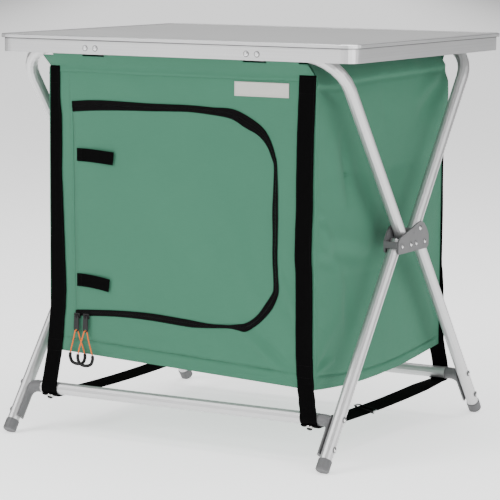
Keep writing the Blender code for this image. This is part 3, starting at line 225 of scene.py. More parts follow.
class Finish:
    """A material and the nodes that give it its pattern."""

    def __init__(self, name, colour, roughness, metallic=0.0, **sockets):
        self.material = bpy.data.materials.new(name)
        self.material.use_nodes = True
        self.tree = self.material.node_tree
        self.shader = self.tree.nodes["Principled BSDF"]
        self.colour = colour
        self.set("Base Color", (*colour, 1))
        self.set("Roughness", roughness)
        self.set("Metallic", metallic)
        for socket, value in sockets.items():
            self.set(socket.replace("_", " "), value)
        self.places = self.add("ShaderNodeTexCoord")
        self.bump = None

    def set(self, socket, value):
        self.shader.inputs[socket].default_value = value

    def add(self, kind, **settings):
        node = self.tree.nodes.new(kind)
        for key, value in settings.items():
            setattr(node, key, value)
        return node

    def join(self, source, target):
        self.tree.links.new(source, target)

    def number(self, operation, first, second=None):
        node = self.add("ShaderNodeMath", operation=operation)
        for socket, value in zip(node.inputs, (first, second)):
            if value is None:
                continue
            if isinstance(value, (int, float)):
                socket.default_value = value
            else:
                self.join(value, socket)
        return node.outputs[0]

    def stretched(self, scale, source="Object", turn=(0, 0, 0)):
        mapping = self.add("ShaderNodeMapping")
        mapping.inputs["Scale"].default_value = scale
        mapping.inputs["Rotation"].default_value = turn
        self.join(self.places.outputs[source], mapping.inputs["Vector"])
        return mapping.outputs[0]

    def speckle(self, scale, detail=3.0, where=None, rough=0.55):
        texture = self.add("ShaderNodeTexNoise")
        texture.inputs["Scale"].default_value = scale
        texture.inputs["Detail"].default_value = detail
        texture.inputs["Roughness"].default_value = rough
        self.join(where or self.places.outputs["Object"], texture.inputs["Vector"])
        return texture.outputs["Fac"]

    def threads(self, pitch, direction, where, wander=0.0, diagonal=False):
        """Parallel threads, one every pitch, running across the given direction."""
        wave = self.add("ShaderNodeTexWave")
        wave.wave_type = "BANDS"
        wave.bands_direction = "DIAGONAL" if diagonal else direction
        wave.inputs["Scale"].default_value = math.pi / (10 * pitch)
        wave.inputs["Distortion"].default_value = wander
        wave.inputs["Detail"].default_value = 1
        wave.inputs["Detail Scale"].default_value = 0.6
        self.join(where, wave.inputs["Vector"])
        return wave.outputs["Fac"]

    def shades(self, amount, dark, light, low=0.3, high=0.7):
        """Colour from a darker to a lighter shade of the finish, by the amount."""
        ramp = self.add("ShaderNodeValToRGB")
        ends = ramp.color_ramp.elements
        ends[0].position, ends[1].position = low, high
        ends[0].color = (*[c * dark for c in self.colour], 1)
        ends[1].color = (*[min(1, c * light) for c in self.colour], 1)
        self.join(amount, ramp.inputs["Fac"])
        return ramp.outputs["Color"]

    def paint(self, colour):
        self.join(colour, self.shader.inputs["Base Color"])

    def blend(self, first, second, amount, way="MULTIPLY"):
        mix = self.add("ShaderNodeMix", data_type="RGBA", blend_type=way)
        sockets = [s for s in mix.inputs if s.type == "RGBA"]
        if isinstance(amount, (int, float)):
            mix.inputs[0].default_value = amount
        else:
            self.join(amount, mix.inputs[0])
        for socket, value in zip(sockets, (first, second)):
            if isinstance(value, tuple):
                socket.default_value = value
            else:
                self.join(value, socket)
        return [s for s in mix.outputs if s.type == "RGBA"][0]

    def rough(self, amount, low, high):
        spread = self.add("ShaderNodeMapRange")
        spread.inputs["To Min"].default_value = low
        spread.inputs["To Max"].default_value = high
        self.join(amount, spread.inputs["Value"])
        self.join(spread.outputs["Result"], self.shader.inputs["Roughness"])

    def raise_by(self, height, depth, strength=1.0):
        bump = self.add("ShaderNodeBump")
        bump.inputs["Distance"].default_value = depth
        bump.inputs["Strength"].default_value = strength
        self.join(height, bump.inputs["Height"])
        if self.bump:
            self.join(self.bump, bump.inputs["Normal"])
        self.bump = bump.outputs["Normal"]
        self.join(self.bump, self.shader.inputs["Normal"])


def woven(name, colour, pitch, depth, roughness=0.85, sheen=0.03):
    """Plain-woven polyester: fine threads both ways, with slow changes of shade."""
    made = Finish(name, colour, roughness, Specular_IOR_Level=0.12, Sheen_Weight=sheen, Sheen_Roughness=0.45)
    cloth = made.places.outputs["UV"]
    warp = made.threads(pitch, "X", cloth, 0.6)
    weft = made.threads(pitch, "Y", cloth, 0.6)
    weave = made.number("MULTIPLY", warp, weft)
    slubs = made.speckle(1.0, 2.0, made.stretched((60, 900, 1), "UV"))
    slow = made.speckle(5.0, 4.0, cloth)
    shade = made.shades(slow, 0.89, 1.09)
    fine = made.blend(shade, made.shades(slubs, 0.94, 1.05), 0.5, "MIX")
    made.paint(made.blend(fine, made.shades(weave, 0.80, 1.10, 0.0, 1.0), 0.35, "MIX"))
    made.rough(slow, roughness - 0.05, roughness + 0.05)
    made.raise_by(made.speckle(28.0, 5.0, cloth), 1.4 * MM, 0.5)
    made.raise_by(weave, depth, 0.5)
    return made.material


def webbing_finish(name, colour, pitch, depth):
    """Narrow webbing: close ribs across it, over finer cords along it."""
    made = Finish(name, colour, 0.72, Specular_IOR_Level=0.03)
    cloth = made.places.outputs["UV"]
    ribs = made.threads(pitch, "Y", cloth, 0.4)
    cords = made.threads(pitch * 0.8, "X", cloth, 0.3)
    weave = made.number("MULTIPLY", ribs, cords)
    made.paint(made.shades(weave, 0.6, 1.8, 0.0, 1.0))
    made.rough(made.speckle(300.0), 0.62, 0.8)
    made.raise_by(weave, depth, 0.7)
    return made.material


def tape_finish():
    """Zip tape: fine black threads in a diagonal twill."""
    made = Finish("zip_tape_twill", (0.0016, 0.0014, 0.0015), 0.62, Specular_IOR_Level=0.04)
    cloth = made.places.outputs["UV"]
    twill = made.threads(0.9 * MM, "X", cloth, 0.2, diagonal=True)
    made.paint(made.shades(twill, 0.7, 1.7, 0.0, 1.0))
    made.rough(made.speckle(260.0), 0.5, 0.72)
    made.raise_by(twill, 0.12 * MM, 0.6)
    return made.material


def anodised(name, colour, roughness, along=None, line=None, metallic=0.9):
    """Satin anodised aluminium with a faint drawn grain, and, where a height is given, a painted shadow: a
    dark band about 2 mm tall at that height.
    """
    made = Finish(name, colour, roughness, metallic)
    grain = made.speckle(1.0, 3.0, made.stretched(along or (900, 900, 900)))
    cloud = made.speckle(7.0, 3.0)
    low, high = (0.84, 1.07) if along else (0.96, 1.03)
    tone = made.blend(made.shades(cloud, 0.95, 1.04), made.shades(grain, low, high), 0.5, "MIX")
    # Painted shadow: a dark band at the given height stands for the shade under the tabletop edge's lip.
    if line:
        height = made.add("ShaderNodeSeparateXYZ")
        made.join(made.places.outputs["Object"], height.inputs[0])
        off = made.number("ABSOLUTE", made.number("SUBTRACT", height.outputs["Z"], line))
        painted_shadow_mask = made.add("ShaderNodeMapRange")
        painted_shadow_mask.inputs["From Min"].default_value = 0.5 * MM
        painted_shadow_mask.inputs["From Max"].default_value = 1.1 * MM
        painted_shadow_mask.inputs["To Min"].default_value = 0.85
        painted_shadow_mask.inputs["To Max"].default_value = 0.0
        made.join(off, painted_shadow_mask.inputs["Value"])
        tone = made.blend(tone, (0.06, 0.06, 0.062, 1), painted_shadow_mask.outputs["Result"], "MIX")
    made.paint(tone)
    made.rough(grain, roughness - 0.05, roughness + 0.07)
    made.raise_by(grain, 0.02 * MM, 0.35)
    return made.material


def moulded(name, colour, roughness=0.5, depth=0.05, scale=1300.0, gloss=0.5):
    """Moulded plastic with a fine spark-eroded skin."""
    made = Finish(name, colour, roughness, Specular_IOR_Level=gloss)
    pits = made.speckle(scale, 2.0)
    cloud = made.speckle(22.0, 4.0)
    made.paint(made.shades(cloud, 0.93, 1.07))
    made.rough(made.speckle(90.0, 4.0), roughness - 0.07, roughness + 0.09)
    made.raise_by(pits, depth * MM, 0.6)
    return made.material


def board_finish():
    """Pale grey laminate: a faint speckle under a satin skin."""
    made = Finish("pale_grey_laminate", (0.42, 0.42, 0.42), 0.42)
    dots = made.speckle(650.0, 2.0)
    cloud = made.speckle(9.0, 4.0)
    made.paint(made.blend(made.shades(cloud, 0.97, 1.02), made.shades(dots, 0.93, 1.04), 0.5, "MIX"))
    made.rough(cloud, 0.36, 0.5)
    made.raise_by(made.speckle(420.0, 2.0), 0.03 * MM, 0.4)
    return made.material


def hardboard_finish():
    made = Finish("brown_hardboard", (0.30, 0.21, 0.14), 0.8)
    fibres = made.speckle(1.0, 5.0, made.stretched((60, 420, 300)))
    made.paint(made.shades(fibres, 0.8, 1.15))
    made.raise_by(fibres, 0.1 * MM, 0.5)
    return made.material


def cord_finish():
    """Braided cord: two sets of strands that cross."""
    made = Finish("orange_braid", (0.74, 0.14, 0.016), 0.7, Specular_IOR_Level=0.2)
    cloth = made.places.outputs["UV"]
    one = made.threads(1.1 * MM, "X", made.stretched((1, 1, 1), "UV", (0, 0, 0.7)), 0.1)
    two = made.threads(1.1 * MM, "X", made.stretched((1, 1, 1), "UV", (0, 0, -0.7)), 0.1)
    braid = made.number("MAXIMUM", one, two)
    made.paint(made.shades(braid, 0.62, 1.15, 0.1, 0.9))
    made.raise_by(braid, 0.2 * MM, 0.7)
    made.rough(made.speckle(400.0, 2.0, cloth), 0.5, 0.7)
    return made.material


GREEN = woven("green_polyester", (0.0525, 0.163, 0.104), 0.75 * MM, 0.10 * MM)
BLACK_WEBBING = webbing_finish("black_webbing", (0.0013, 0.0012, 0.0013), 1.3 * MM, 0.25 * MM)
ZIP_TWILL = tape_finish()
TUBE_METAL = anodised("satin_tube", (0.60, 0.595, 0.60), 0.36, metallic=0.7)
# Height of the painted shadow band under the tabletop edge's lip.
LIP_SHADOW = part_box("tabletop_edge")[1].z - 6.1 * MM
RAIL_METAL = anodised("satin_edge_profile", (0.74, 0.74, 0.745), 0.38, (4, 4, 900), LIP_SHADOW)
CLIP_METAL = anodised("sheet_clip", (0.75, 0.75, 0.76), 0.36)
STUD_METAL = anodised("nickel_stud", (0.66, 0.65, 0.63), 0.25)
RIVET_METAL = anodised("bright_rivet", (0.62, 0.62, 0.62), 0.14)
BRACKET_GREY = moulded("grey_nylon", (0.115, 0.115, 0.118), 0.46)
ELBOW_GREY = moulded("elbow_nylon", (0.105, 0.105, 0.108), 0.48)
FOOT_GREY = moulded("foot_cap_nylon", (0.10, 0.10, 0.103), 0.52)
BLACK_PLASTIC = moulded("black_moulding", (0.0035, 0.0033, 0.0035), 0.42, gloss=0.2)
TOOTH_PLASTIC = moulded("zip_tooth_moulding", (0.003, 0.0026, 0.0028), 0.4, gloss=0.12)
SLIDER_PAINT = moulded("painted_zinc", (0.006, 0.0055, 0.006), 0.4, 0.03, gloss=0.25)
TAB_METAL = moulded("smoked_metal", (0.012, 0.0115, 0.0125), 0.4, 0.02, gloss=0.25)
TABLE_GREY = board_finish()
HARDBOARD = hardboard_finish()
ORANGE_CORD = cord_finish()
LABEL_CLOTH = woven("pale_woven_label", (0.53, 0.52, 0.485), 0.55 * MM, 0.06 * MM, 0.7, 0.02)
GREEN_THREAD = Finish("green_thread", (0.044, 0.140, 0.086), 0.6).material
BLACK_THREAD = Finish("black_thread", (0.004, 0.004, 0.004), 0.7, Specular_IOR_Level=0.1).material
PALE_THREAD = Finish("pale_thread", (0.50, 0.48, 0.44), 0.6).material


# Shared ways of making pieces


def new_piece(name, mesh, material, body, slot):
    made = bpy.data.objects.new(name, mesh)
    mesh.materials.clear()
    mesh.materials.append(material)
    bpy.context.scene.collection.objects.link(made)
    made["body"] = body
    return made


def smooth(mesh, angle=40):
    mesh.shade_smooth()
    mesh.set_sharp_from_angle(angle=math.radians(angle))
    return mesh


def curve_through(points, steps):
    """Points read from a smooth curve through the given ones."""
    points = [Vector(p) for p in points]
    ends = [2 * points[0] - points[1]] + points + [2 * points[-1] - points[-2]]
    result = [points[0]]
    for i in range(1, len(ends) - 2):
        a, b, c, d = ends[i - 1 : i + 3]
        for step in range(1, steps + 1):
            t = step / steps
            bend = (2 * a - 5 * b + 4 * c - d) * t * t + (3 * b - a - 3 * c + d) * t * t * t
            result.append(b + ((c - a) * t + bend) / 2)
    return result


def arc(centre, radius, start, end, steps):
    turns = [start + (end - start) * i / steps for i in range(steps + 1)]
    return [(centre[0] + radius * math.cos(a), centre[1] + radius * math.sin(a)) for a in turns]


def grid_mesh(name, rows, uvs, wrap=False):
    """A mesh from rows of points, with the place of each point on the flat cut."""
    work = bmesh.new()
    layer = work.loops.layers.uv.new("cut")
    made = [[work.verts.new(p) for p in row] for row in rows]
    for r in range(len(rows) - 1):
        count = len(rows[r])
        for i in range(count if wrap else count - 1):
            j = (i + 1) % count
            corners = ((r, i), (r, j), (r + 1, j), (r + 1, i))
            face = work.faces.new([made[a][b] for a, b in corners])
            spots = [uvs[a][b] for a, b in corners]
            if wrap and j == 0:
                spots[1] = uvs[r][count]
                spots[2] = uvs[r + 1][count]
            for loop, spot in zip(face.loops, spots):
                loop[layer].uv = spot
    mesh = bpy.data.meshes.new(name)
    work.to_mesh(mesh)
    work.free()
    return mesh


def thicken(piece, thickness, offset):
    wall = piece.modifiers.new("thickness", "SOLIDIFY")
    wall.thickness = thickness
    wall.offset = offset
    wall.use_even_offset = True
    return piece


def read_table(table, at, column=1):
    """A value read from a table of places and values, eased from row to row."""
    rows = sorted(table)
    at = min(rows[-1][0], max(rows[0][0], at))
    for low, high in zip(rows, rows[1:]):
        if at <= high[0]:
            share = (at - low[0]) / (high[0] - low[0])
            return low[column] + (high[column] - low[column]) * share * share * (3 - 2 * share)
    return rows[-1][column]


def crowded(count):
    """Shares from 0 to 1 that lie closer together near both ends."""
    return [i / count - 0.11 * math.sin(math.tau * i / count) for i in range(count + 1)]


def cloth(name, place, columns, rows, cut, body, outward=1, material=None, thickness=CLOTH):
    """A sheet of cloth: place(u, v) gives each point, with u and v from 0 to 1."""
    across, upward = crowded(columns), crowded(rows)
    points = [[place(u, v) for u in across] for v in upward]
    flat = [[(u * cut[0], v * cut[1]) for u in across] for v in upward]
    mesh = grid_mesh(name, points, flat)
    piece = new_piece(name, smooth(mesh, 60), material or GREEN, body, "green_fabric")
    return thicken(piece, thickness, outward)


def band(name, path, across, width, thickness, material, body, slot, columns=6, fold=None):
    """Webbing along a path: a flat section with rounded selvedges, closed at both ends.
    fold, where it is given, moves each point of a row, as round a corner."""
    half, edge = width / 2 - thickness / 2, thickness / 2
    section = [(-half + 2 * half * i / columns, edge) for i in range(columns + 1)]
    section += [(half + edge * math.sin(a), edge * math.cos(a)) for a in (0.79, 1.57, 2.36)]
    section += [(x, -z) for x, z in reversed(section[: columns + 1])]
    section += [(-half - edge * math.sin(a), -edge * math.cos(a)) for a in (0.79, 1.57, 2.36)]
    around = [0.0]
    for a, b in zip(section, section[1:] + section[:1]):
        around.append(around[-1] + math.dist(a, b))
    path = [Vector(p) for p in path]
    rows, uvs, run = [], [], 0.0
    for i, point in enumerate(path):
        before, after = path[max(0, i - 1)], path[min(len(path) - 1, i + 1)]
        run += (point - before).length if i else 0
        side = (across[i] if isinstance(across, list) else Vector(across)).normalized()
        normal = side.cross(after - before).normalized()
        row = [point + side * x + normal * z for x, z in section]
        rows.append([fold(spot) for spot in row] if fold else row)
        uvs.append([(a, run) for a in around])
    mesh = grid_mesh(name, rows, uvs, wrap=True)
    work = bmesh.new()
    work.from_mesh(mesh)
    work.verts.ensure_lookup_table()
    count = len(section)
    work.faces.new([work.verts[i] for i in range(count)])
    work.faces.new([work.verts[-1 - i] for i in range(count)])
    bmesh.ops.recalc_face_normals(work, faces=work.faces)
    work.to_mesh(mesh)
    work.free()
    return new_piece(name, smooth(mesh, 50), material, body, slot)


def mend_faces(mesh, merged=0.0, to_front=True):
    """Merges doubles and points a sheet's faces one way, or those of a closed shell outwards."""
    work = bmesh.new()
    work.from_mesh(mesh)
    if merged:
        bmesh.ops.remove_doubles(work, verts=work.verts, dist=merged)
    bmesh.ops.recalc_face_normals(work, faces=work.faces)
    if to_front and sum(f.normal.y for f in work.faces) > 0:
        bmesh.ops.reverse_faces(work, faces=work.faces[:])
    work.to_mesh(mesh)
    work.free()
    return mesh


def facing(at, way):
    """A place whose Z points a way."""
    return Matrix.Translation(at) @ way.to_track_quat("Z", "Y").to_matrix().to_4x4()


def rod(name, path, radius, material, body, slot, sides=12, widths=None):
    """A round rod along a path, with domed ends."""
    path = [Vector(p) for p in path]
    side = Vector((0, 0, 1)) if abs((path[1] - path[0]).normalized().z) < 0.9 else Vector((1, 0, 0))
    rows, uvs, run = [], [], 0.0
    girth = math.tau * radius
    for i, point in enumerate(path):
        before, after = path[max(0, i - 1)], path[min(len(path) - 1, i + 1)]
        run += (point - before).length if i else 0
        along = (after - before).normalized()
        side = (side - along * side.dot(along)).normalized()
        other = along.cross(side)
        reach = radius * (widths[i] if widths else 1)
        turns = [math.tau * k / sides for k in range(sides)]
        rows.append([point + (side * math.cos(a) + other * math.sin(a)) * reach for a in turns])
        uvs.append([(girth * k / sides, run) for k in range(sides + 1)])
    mesh = grid_mesh(name, rows, uvs, wrap=True)
    work = bmesh.new()
    work.from_mesh(mesh)
    work.verts.ensure_lookup_table()
    ends = [work.verts[k] for k in range(sides)], [work.verts[k - sides] for k in range(sides)]
    for ring, way in zip(ends, (-1, 1)):
        middle = sum((v.co for v in ring), Vector()) / sides
        tangent = (path[1] - path[0]) if way < 0 else (path[-1] - path[-2])
        tip = work.verts.new(middle + tangent.normalized() * way * (ring[0].co - middle).length * 0.5)
        for k in range(sides):
            work.faces.new((ring[k], ring[(k + 1) % sides], tip))
    bmesh.ops.recalc_face_normals(work, faces=work.faces)
    work.to_mesh(mesh)
    work.free()
    return new_piece(name, smooth(mesh, 50), material, body, slot)


def turned(profile, steps=20):
    """A mesh turned round Z from a profile of radius and height, top to bottom."""
    work = bmesh.new()
    rings = []
    for radius, height in profile:
        if radius == 0:
            rings.append([work.verts.new((0, 0, height))])
            continue
        turns = [math.tau * k / steps for k in range(steps)]
        rings.append([work.verts.new((radius * math.cos(a), radius * math.sin(a), height)) for a in turns])
    for one, two in zip(rings, rings[1:]):
        for k in range(steps):
            ring = [one[k % len(one)], two[k % len(two)], two[(k + 1) % len(two)], one[(k + 1) % len(one)]]
            unique = list(dict.fromkeys(ring))
            if len(unique) > 2:
                work.faces.new(unique)
    bmesh.ops.recalc_face_normals(work, faces=work.faces)
    mesh = bpy.data.meshes.new("turned")
    work.to_mesh(mesh)
    work.free()
    return mesh


# Stitches and zip teeth, laid along lines by Geometry Nodes


def repeat_tree(name, material, default_pitch):
    """Lays one small shape along lines at an even pitch, turned to follow them."""
    tree = bpy.data.node_groups.new(name, "GeometryNodeTree")
    face = tree.interface
    face.new_socket("Lines", in_out="INPUT", socket_type="NodeSocketGeometry")
    face.new_socket("Shape", in_out="INPUT", socket_type="NodeSocketObject")
    pitch = face.new_socket("Pitch", in_out="INPUT", socket_type="NodeSocketFloat")
    pitch.default_value = default_pitch
    size = face.new_socket("Size", in_out="INPUT", socket_type="NodeSocketFloat")
    size.default_value = 1.0
    face.new_socket("Laid", in_out="OUTPUT", socket_type="NodeSocketGeometry")
    add = tree.nodes.new
    given, result = add("NodeGroupInput"), add("NodeGroupOutput")
    to_curve = add("GeometryNodeMeshToCurve")
    even = add("GeometryNodeCurveToPoints")
    even.mode = "LENGTH"
    shape = add("GeometryNodeObjectInfo")
    facing = add("GeometryNodeInputNamedAttribute")
    facing.data_type = "FLOAT_VECTOR"
    facing.inputs["Name"].default_value = "outward"
    turn = add("FunctionNodeAxesToRotation")
    turn.primary_axis, turn.secondary_axis = "X", "Z"
    place = add("GeometryNodeInstanceOnPoints")
    real = add("GeometryNodeRealizeInstances")
    paint = add("GeometryNodeSetMaterial")
    paint.inputs["Material"].default_value = material
    keep = add("GeometryNodeCaptureAttribute")
    keep.capture_items.new("VECTOR", "outward")
    link = tree.links.new
    link(given.outputs["Lines"], to_curve.inputs["Mesh"])
    link(to_curve.outputs["Curve"], keep.inputs["Geometry"])
    link(facing.outputs["Attribute"], keep.inputs[1])
    link(keep.outputs["Geometry"], even.inputs["Curve"])
    link(given.outputs["Pitch"], even.inputs["Length"])
    link(even.outputs["Tangent"], turn.inputs["Primary Axis"])
    link(keep.outputs[1], turn.inputs["Secondary Axis"])
    link(even.outputs["Points"], place.inputs["Points"])
    link(given.outputs["Shape"], shape.inputs["Object"])
    link(shape.outputs["Geometry"], place.inputs["Instance"])
    link(turn.outputs["Rotation"], place.inputs["Rotation"])
    link(given.outputs["Size"], place.inputs["Scale"])
    link(place.outputs["Instances"], real.inputs["Geometry"])
    link(real.outputs["Geometry"], paint.inputs["Geometry"])
    link(paint.outputs["Geometry"], result.inputs["Laid"])
    return tree, {s.name: s.identifier for s in face.items_tree if s.in_out == "INPUT"}


def small_shape(name, mesh):
    """A shape that is only laid by the trees, and never shown itself."""
    made = bpy.data.objects.new(name, mesh)
    bpy.context.scene.collection.objects.link(made)
    made.hide_render = True
    return made


def stitch_mesh():
    """One stitch: a short thread that dips into the cloth at both ends."""
    length, thick = 2.3 * MM, 0.24 * MM
    work = bmesh.new()
    rings = []
    bow = ((-0.5, -0.5, 0.6), (-0.36, 0.5, 1), (0, 0.8, 1.05), (0.36, 0.5, 1), (0.5, -0.5, 0.6))
    for share, lift, size in bow:
        ring = []
        for k in range(6):
            turn = math.tau * k / 6
            y, z = thick * size * math.cos(turn), thick * (size * math.sin(turn) + lift)
            ring.append(work.verts.new((share * length, y, z)))
        rings.append(ring)
    for one, two in zip(rings, rings[1:]):
        for k in range(6):
            work.faces.new((one[k], one[(k + 1) % 6], two[(k + 1) % 6], two[k]))
    work.faces.new(rings[0])
    work.faces.new(rings[-1])
    bmesh.ops.recalc_face_normals(work, faces=work.faces)
    mesh = bpy.data.meshes.new("stitch")
    work.to_mesh(mesh)
    work.free()
    return mesh


def tooth_mesh():
    """One zip tooth: a neck on the tape and a wider head at the chain's middle."""
    work = bmesh.new()
    outline = ((-1.9, 0.28), (-0.5, 0.28), (-0.1, 0.52), (0.42, 0.52), (0.62, 0.3))
    half = [(x * MM, y * MM) for x, y in outline]
    edge = half + [(x, -y) for x, y in reversed(half)]
    low = [work.verts.new((y, x, -0.2 * MM)) for x, y in edge]
    high = [work.verts.new((y * 0.85, x, 1.05 * MM)) for x, y in edge]
    for k in range(len(edge)):
        j = (k + 1) % len(edge)
        work.faces.new((low[k], low[j], high[j], high[k]))
    work.faces.new(low)
    work.faces.new(high)
    bmesh.ops.recalc_face_normals(work, faces=work.faces)
    mesh = bpy.data.meshes.new("tooth")
    work.to_mesh(mesh)
    work.free()
    return mesh


STITCH = small_shape("one_stitch", stitch_mesh())
TOOTH = small_shape("one_tooth", tooth_mesh())
TREES = {}


def lay_along(name, lines, shape, material, pitch, body, slot, size=1.0):
    """Lines are lists of (point, outward direction). The result is one plain mesh."""
    if material.name not in TREES:
        TREES[material.name] = repeat_tree("along_" + material.name, material, pitch)
    tree, sockets = TREES[material.name]
    points, edges, outward = [], [], []
    for line in lines:
        start = len(points)
        points += [p for p, _ in line]
        outward += [n for _, n in line]
        edges += [(start + i, start + i + 1) for i in range(len(line) - 1)]
    mesh = bpy.data.meshes.new(name + "_line")
    mesh.from_pydata(points, edges, [])
    facing = mesh.attributes.new("outward", "FLOAT_VECTOR", "POINT")
    facing.data.foreach_set("vector", [c for n in outward for c in n])
    holder = bpy.data.objects.new(name + "_line", mesh)
    bpy.context.scene.collection.objects.link(holder)
    step = holder.modifiers.new("laid", "NODES")
    step.node_group = tree
    step[sockets["Shape"]] = shape
    step[sockets["Pitch"]] = pitch
    step[sockets["Size"]] = size
    bpy.context.view_layer.update()
    graph = bpy.context.evaluated_depsgraph_get()
    made = bpy.data.meshes.new_from_object(holder.evaluated_get(graph))
    bpy.data.objects.remove(holder)
    made.name = name
    return new_piece(name, smooth(made, 50), material, body, slot)


# The shape of the walls


def fold_height(a, b, folds):
    """How far the listed folds lift the cloth at a place, in metres."""
    a, b, total = a / MM, b / MM, 0.0
    for a1, b1, a2, b2, height, width in folds:
        run = math.hypot(a2 - a1, b2 - b1)
        share = ((a - a1) * (a2 - a1) + (b - b1) * (b2 - b1)) / (run * run)
        if not -0.5 < share < 1.5:
            continue
        off = abs((a - a1) * (b2 - b1) - (b - b1) * (a2 - a1)) / run
        if off > 3 * width:
            continue
        fade = 1.0 if 0 <= share <= 1 else math.exp(-((min(abs(share), abs(share - 1)) * run / width) ** 2))
        along = 0.55 + 0.45 * math.sin(math.pi * min(1, max(0, share)))
        total += height * along * fade * math.exp(-((off / width) ** 2))
    return total * MM


def soft_wave(a, b, scale, seed):
    spot = Vector((a * scale, b * scale, seed))
    return noise.noise(spot) + 0.5 * noise.noise(spot * 2.1)


def eased(value):
    value = min(1, max(0, value))
    return value * value * (3 - 2 * value)


def front_bottom(x):
    """Height of the front wall's lower edge: it hangs lower towards the right."""
    return 120.2 * MM - 0.0434 * x


def front_out(x, z):
    """How far the front stands out of its flat plane. It is held flat at the straps."""
    inside = eased((206 * MM - abs(x)) / (14 * MM)) * eased((CABINET_TOP - z) / (16 * MM))
    out = 1.7 * fold_height(x, z, FRONT_FOLDS) + 1.5 * fold_height(x, z, DOOR_FOLDS)
    out += 0.9 * MM * soft_wave(x, z, 9, 3.7) + 0.35 * MM * soft_wave(x, z, 34, 8.1)
    rise = z - front_bottom(x)
    groove = math.exp(-(((rise - BOTTOM_SEAM) / (2.0 * MM)) ** 2))
    curl = eased(1 - rise / (9 * MM))
    out = out * eased(rise / (20 * MM)) + 0.9 * MM * eased((BOTTOM_SEAM - rise) / (1.5 * MM))
    return out * inside - 1.7 * MM * groove * inside - 1.6 * MM * curl * inside


def on_front(x, z, lift=0.0):
    return Vector((x, FRONT_FACE - front_out(x, z) - lift, z))


def front_facing(x, z):
    step = 2 * MM
    across = front_out(x + step, z) - front_out(x - step, z)
    upward = front_out(x, z + step) - front_out(x, z - step)
    return Vector((-across, -2 * step, -upward)).normalized()


def wall_bottom(u, front=CABINET_BOTTOM):
    start = front * (1 - eased(u * 1.6)) + CABINET_BOTTOM * eased(u * 1.6)
    return start - FLOOR_SAG * math.sin(math.pi * u)


def wall_top(u):
    return read_table(TOP_SEAM, (u * 2 - 1) * BACK_FACE / MM) * MM


def bulge(u, height, crown):
    levels = (CABINET_BOTTOM, *SHELF_HEIGHTS, CABINET_TOP)
    across = math.sin(math.pi * min(1, max(0, u))) ** 0.7
    for low, high in zip(levels, levels[1:]):
        if low < height < high:
            share = (height - low) / (high - low)
            return across * crown * (0.35 + 0.65 * math.sin(math.pi * share) ** 0.7)
    return across * crown * 0.35


def side_out(y, z, side):
    """How far a side wall stands out, with its folds. The left wall mirrors the right."""
    u = (y - FRONT_FACE) / (2 * BACK_FACE)
    held = eased(u / 0.05) * eased((1 - u) / 0.05)
    low, high = wall_bottom(u), wall_top(u)
    rise = z - low
    out = bulge(u, z, SIDE_CROWN)
    shift = 0 if side > 0 else 23 * MM
    free = eased(rise / (12 * MM)) * eased((high - z) / (10 * MM))
    out += 1.4 * fold_height(y + shift, z, SIDE_FOLDS) * held * free
    out += (1.1 * MM * soft_wave(y, z, 8, 5.3 + side) + 0.45 * MM * soft_wave(y, z, 30, 2.9 + side)) * held
    seam = math.exp(-(((rise - SIDE_SEAM) / (2.2 * MM)) ** 2))
    crease = math.exp(-(((high - z - 6.5 * MM) / (2.6 * MM)) ** 2))
    out += 0.9 * MM * eased((SIDE_SEAM - rise) / (1.5 * MM)) * held
    out -= 1.7 * MM * seam * held + 1.2 * MM * crease * held + 1.8 * MM * eased(1 - rise / (7 * MM)) * held
    front_seam = math.exp(-(((y - FRONT_FACE - 8 * MM) / (1.5 * MM)) ** 2))
    out -= 0.9 * MM * front_seam * eased((high - z) / (9 * MM))
    return out + read_table(REAR_PUFF, z / MM) * MM * math.exp(-(((BACK_FACE - y) / (55 * MM)) ** 2))


def on_side(y, z, side, lift=0.0):
    return Vector((side * (HALF_WIDTH + side_out(y, z, side) + lift), y, z))


def zip_points(steps=4):
    """The zip's line: place in x and z, direction outwards from the door, tape width."""
    spots = curve_through([(x * MM, z * MM, w * MM) for x, z, w in ZIP_LINE], steps)
    result = []
    for i, spot in enumerate(spots):
        before, after = spots[max(0, i - 1)], spots[min(len(spots) - 1, i + 1)]
        dx, dz = after.x - before.x, after.y - before.y
        run = math.hypot(dx, dz)
        result.append((spot.x, spot.y, -dz / run, dx / run, spot.z))
    return result


ZIP_POINTS = zip_points()


def zip_edge(grow):
    """The zip's line moved outwards (or inwards, where grow is below zero)."""
    return [(x + nx * grow, z + nz * grow) for x, z, nx, nz, _ in ZIP_POINTS]


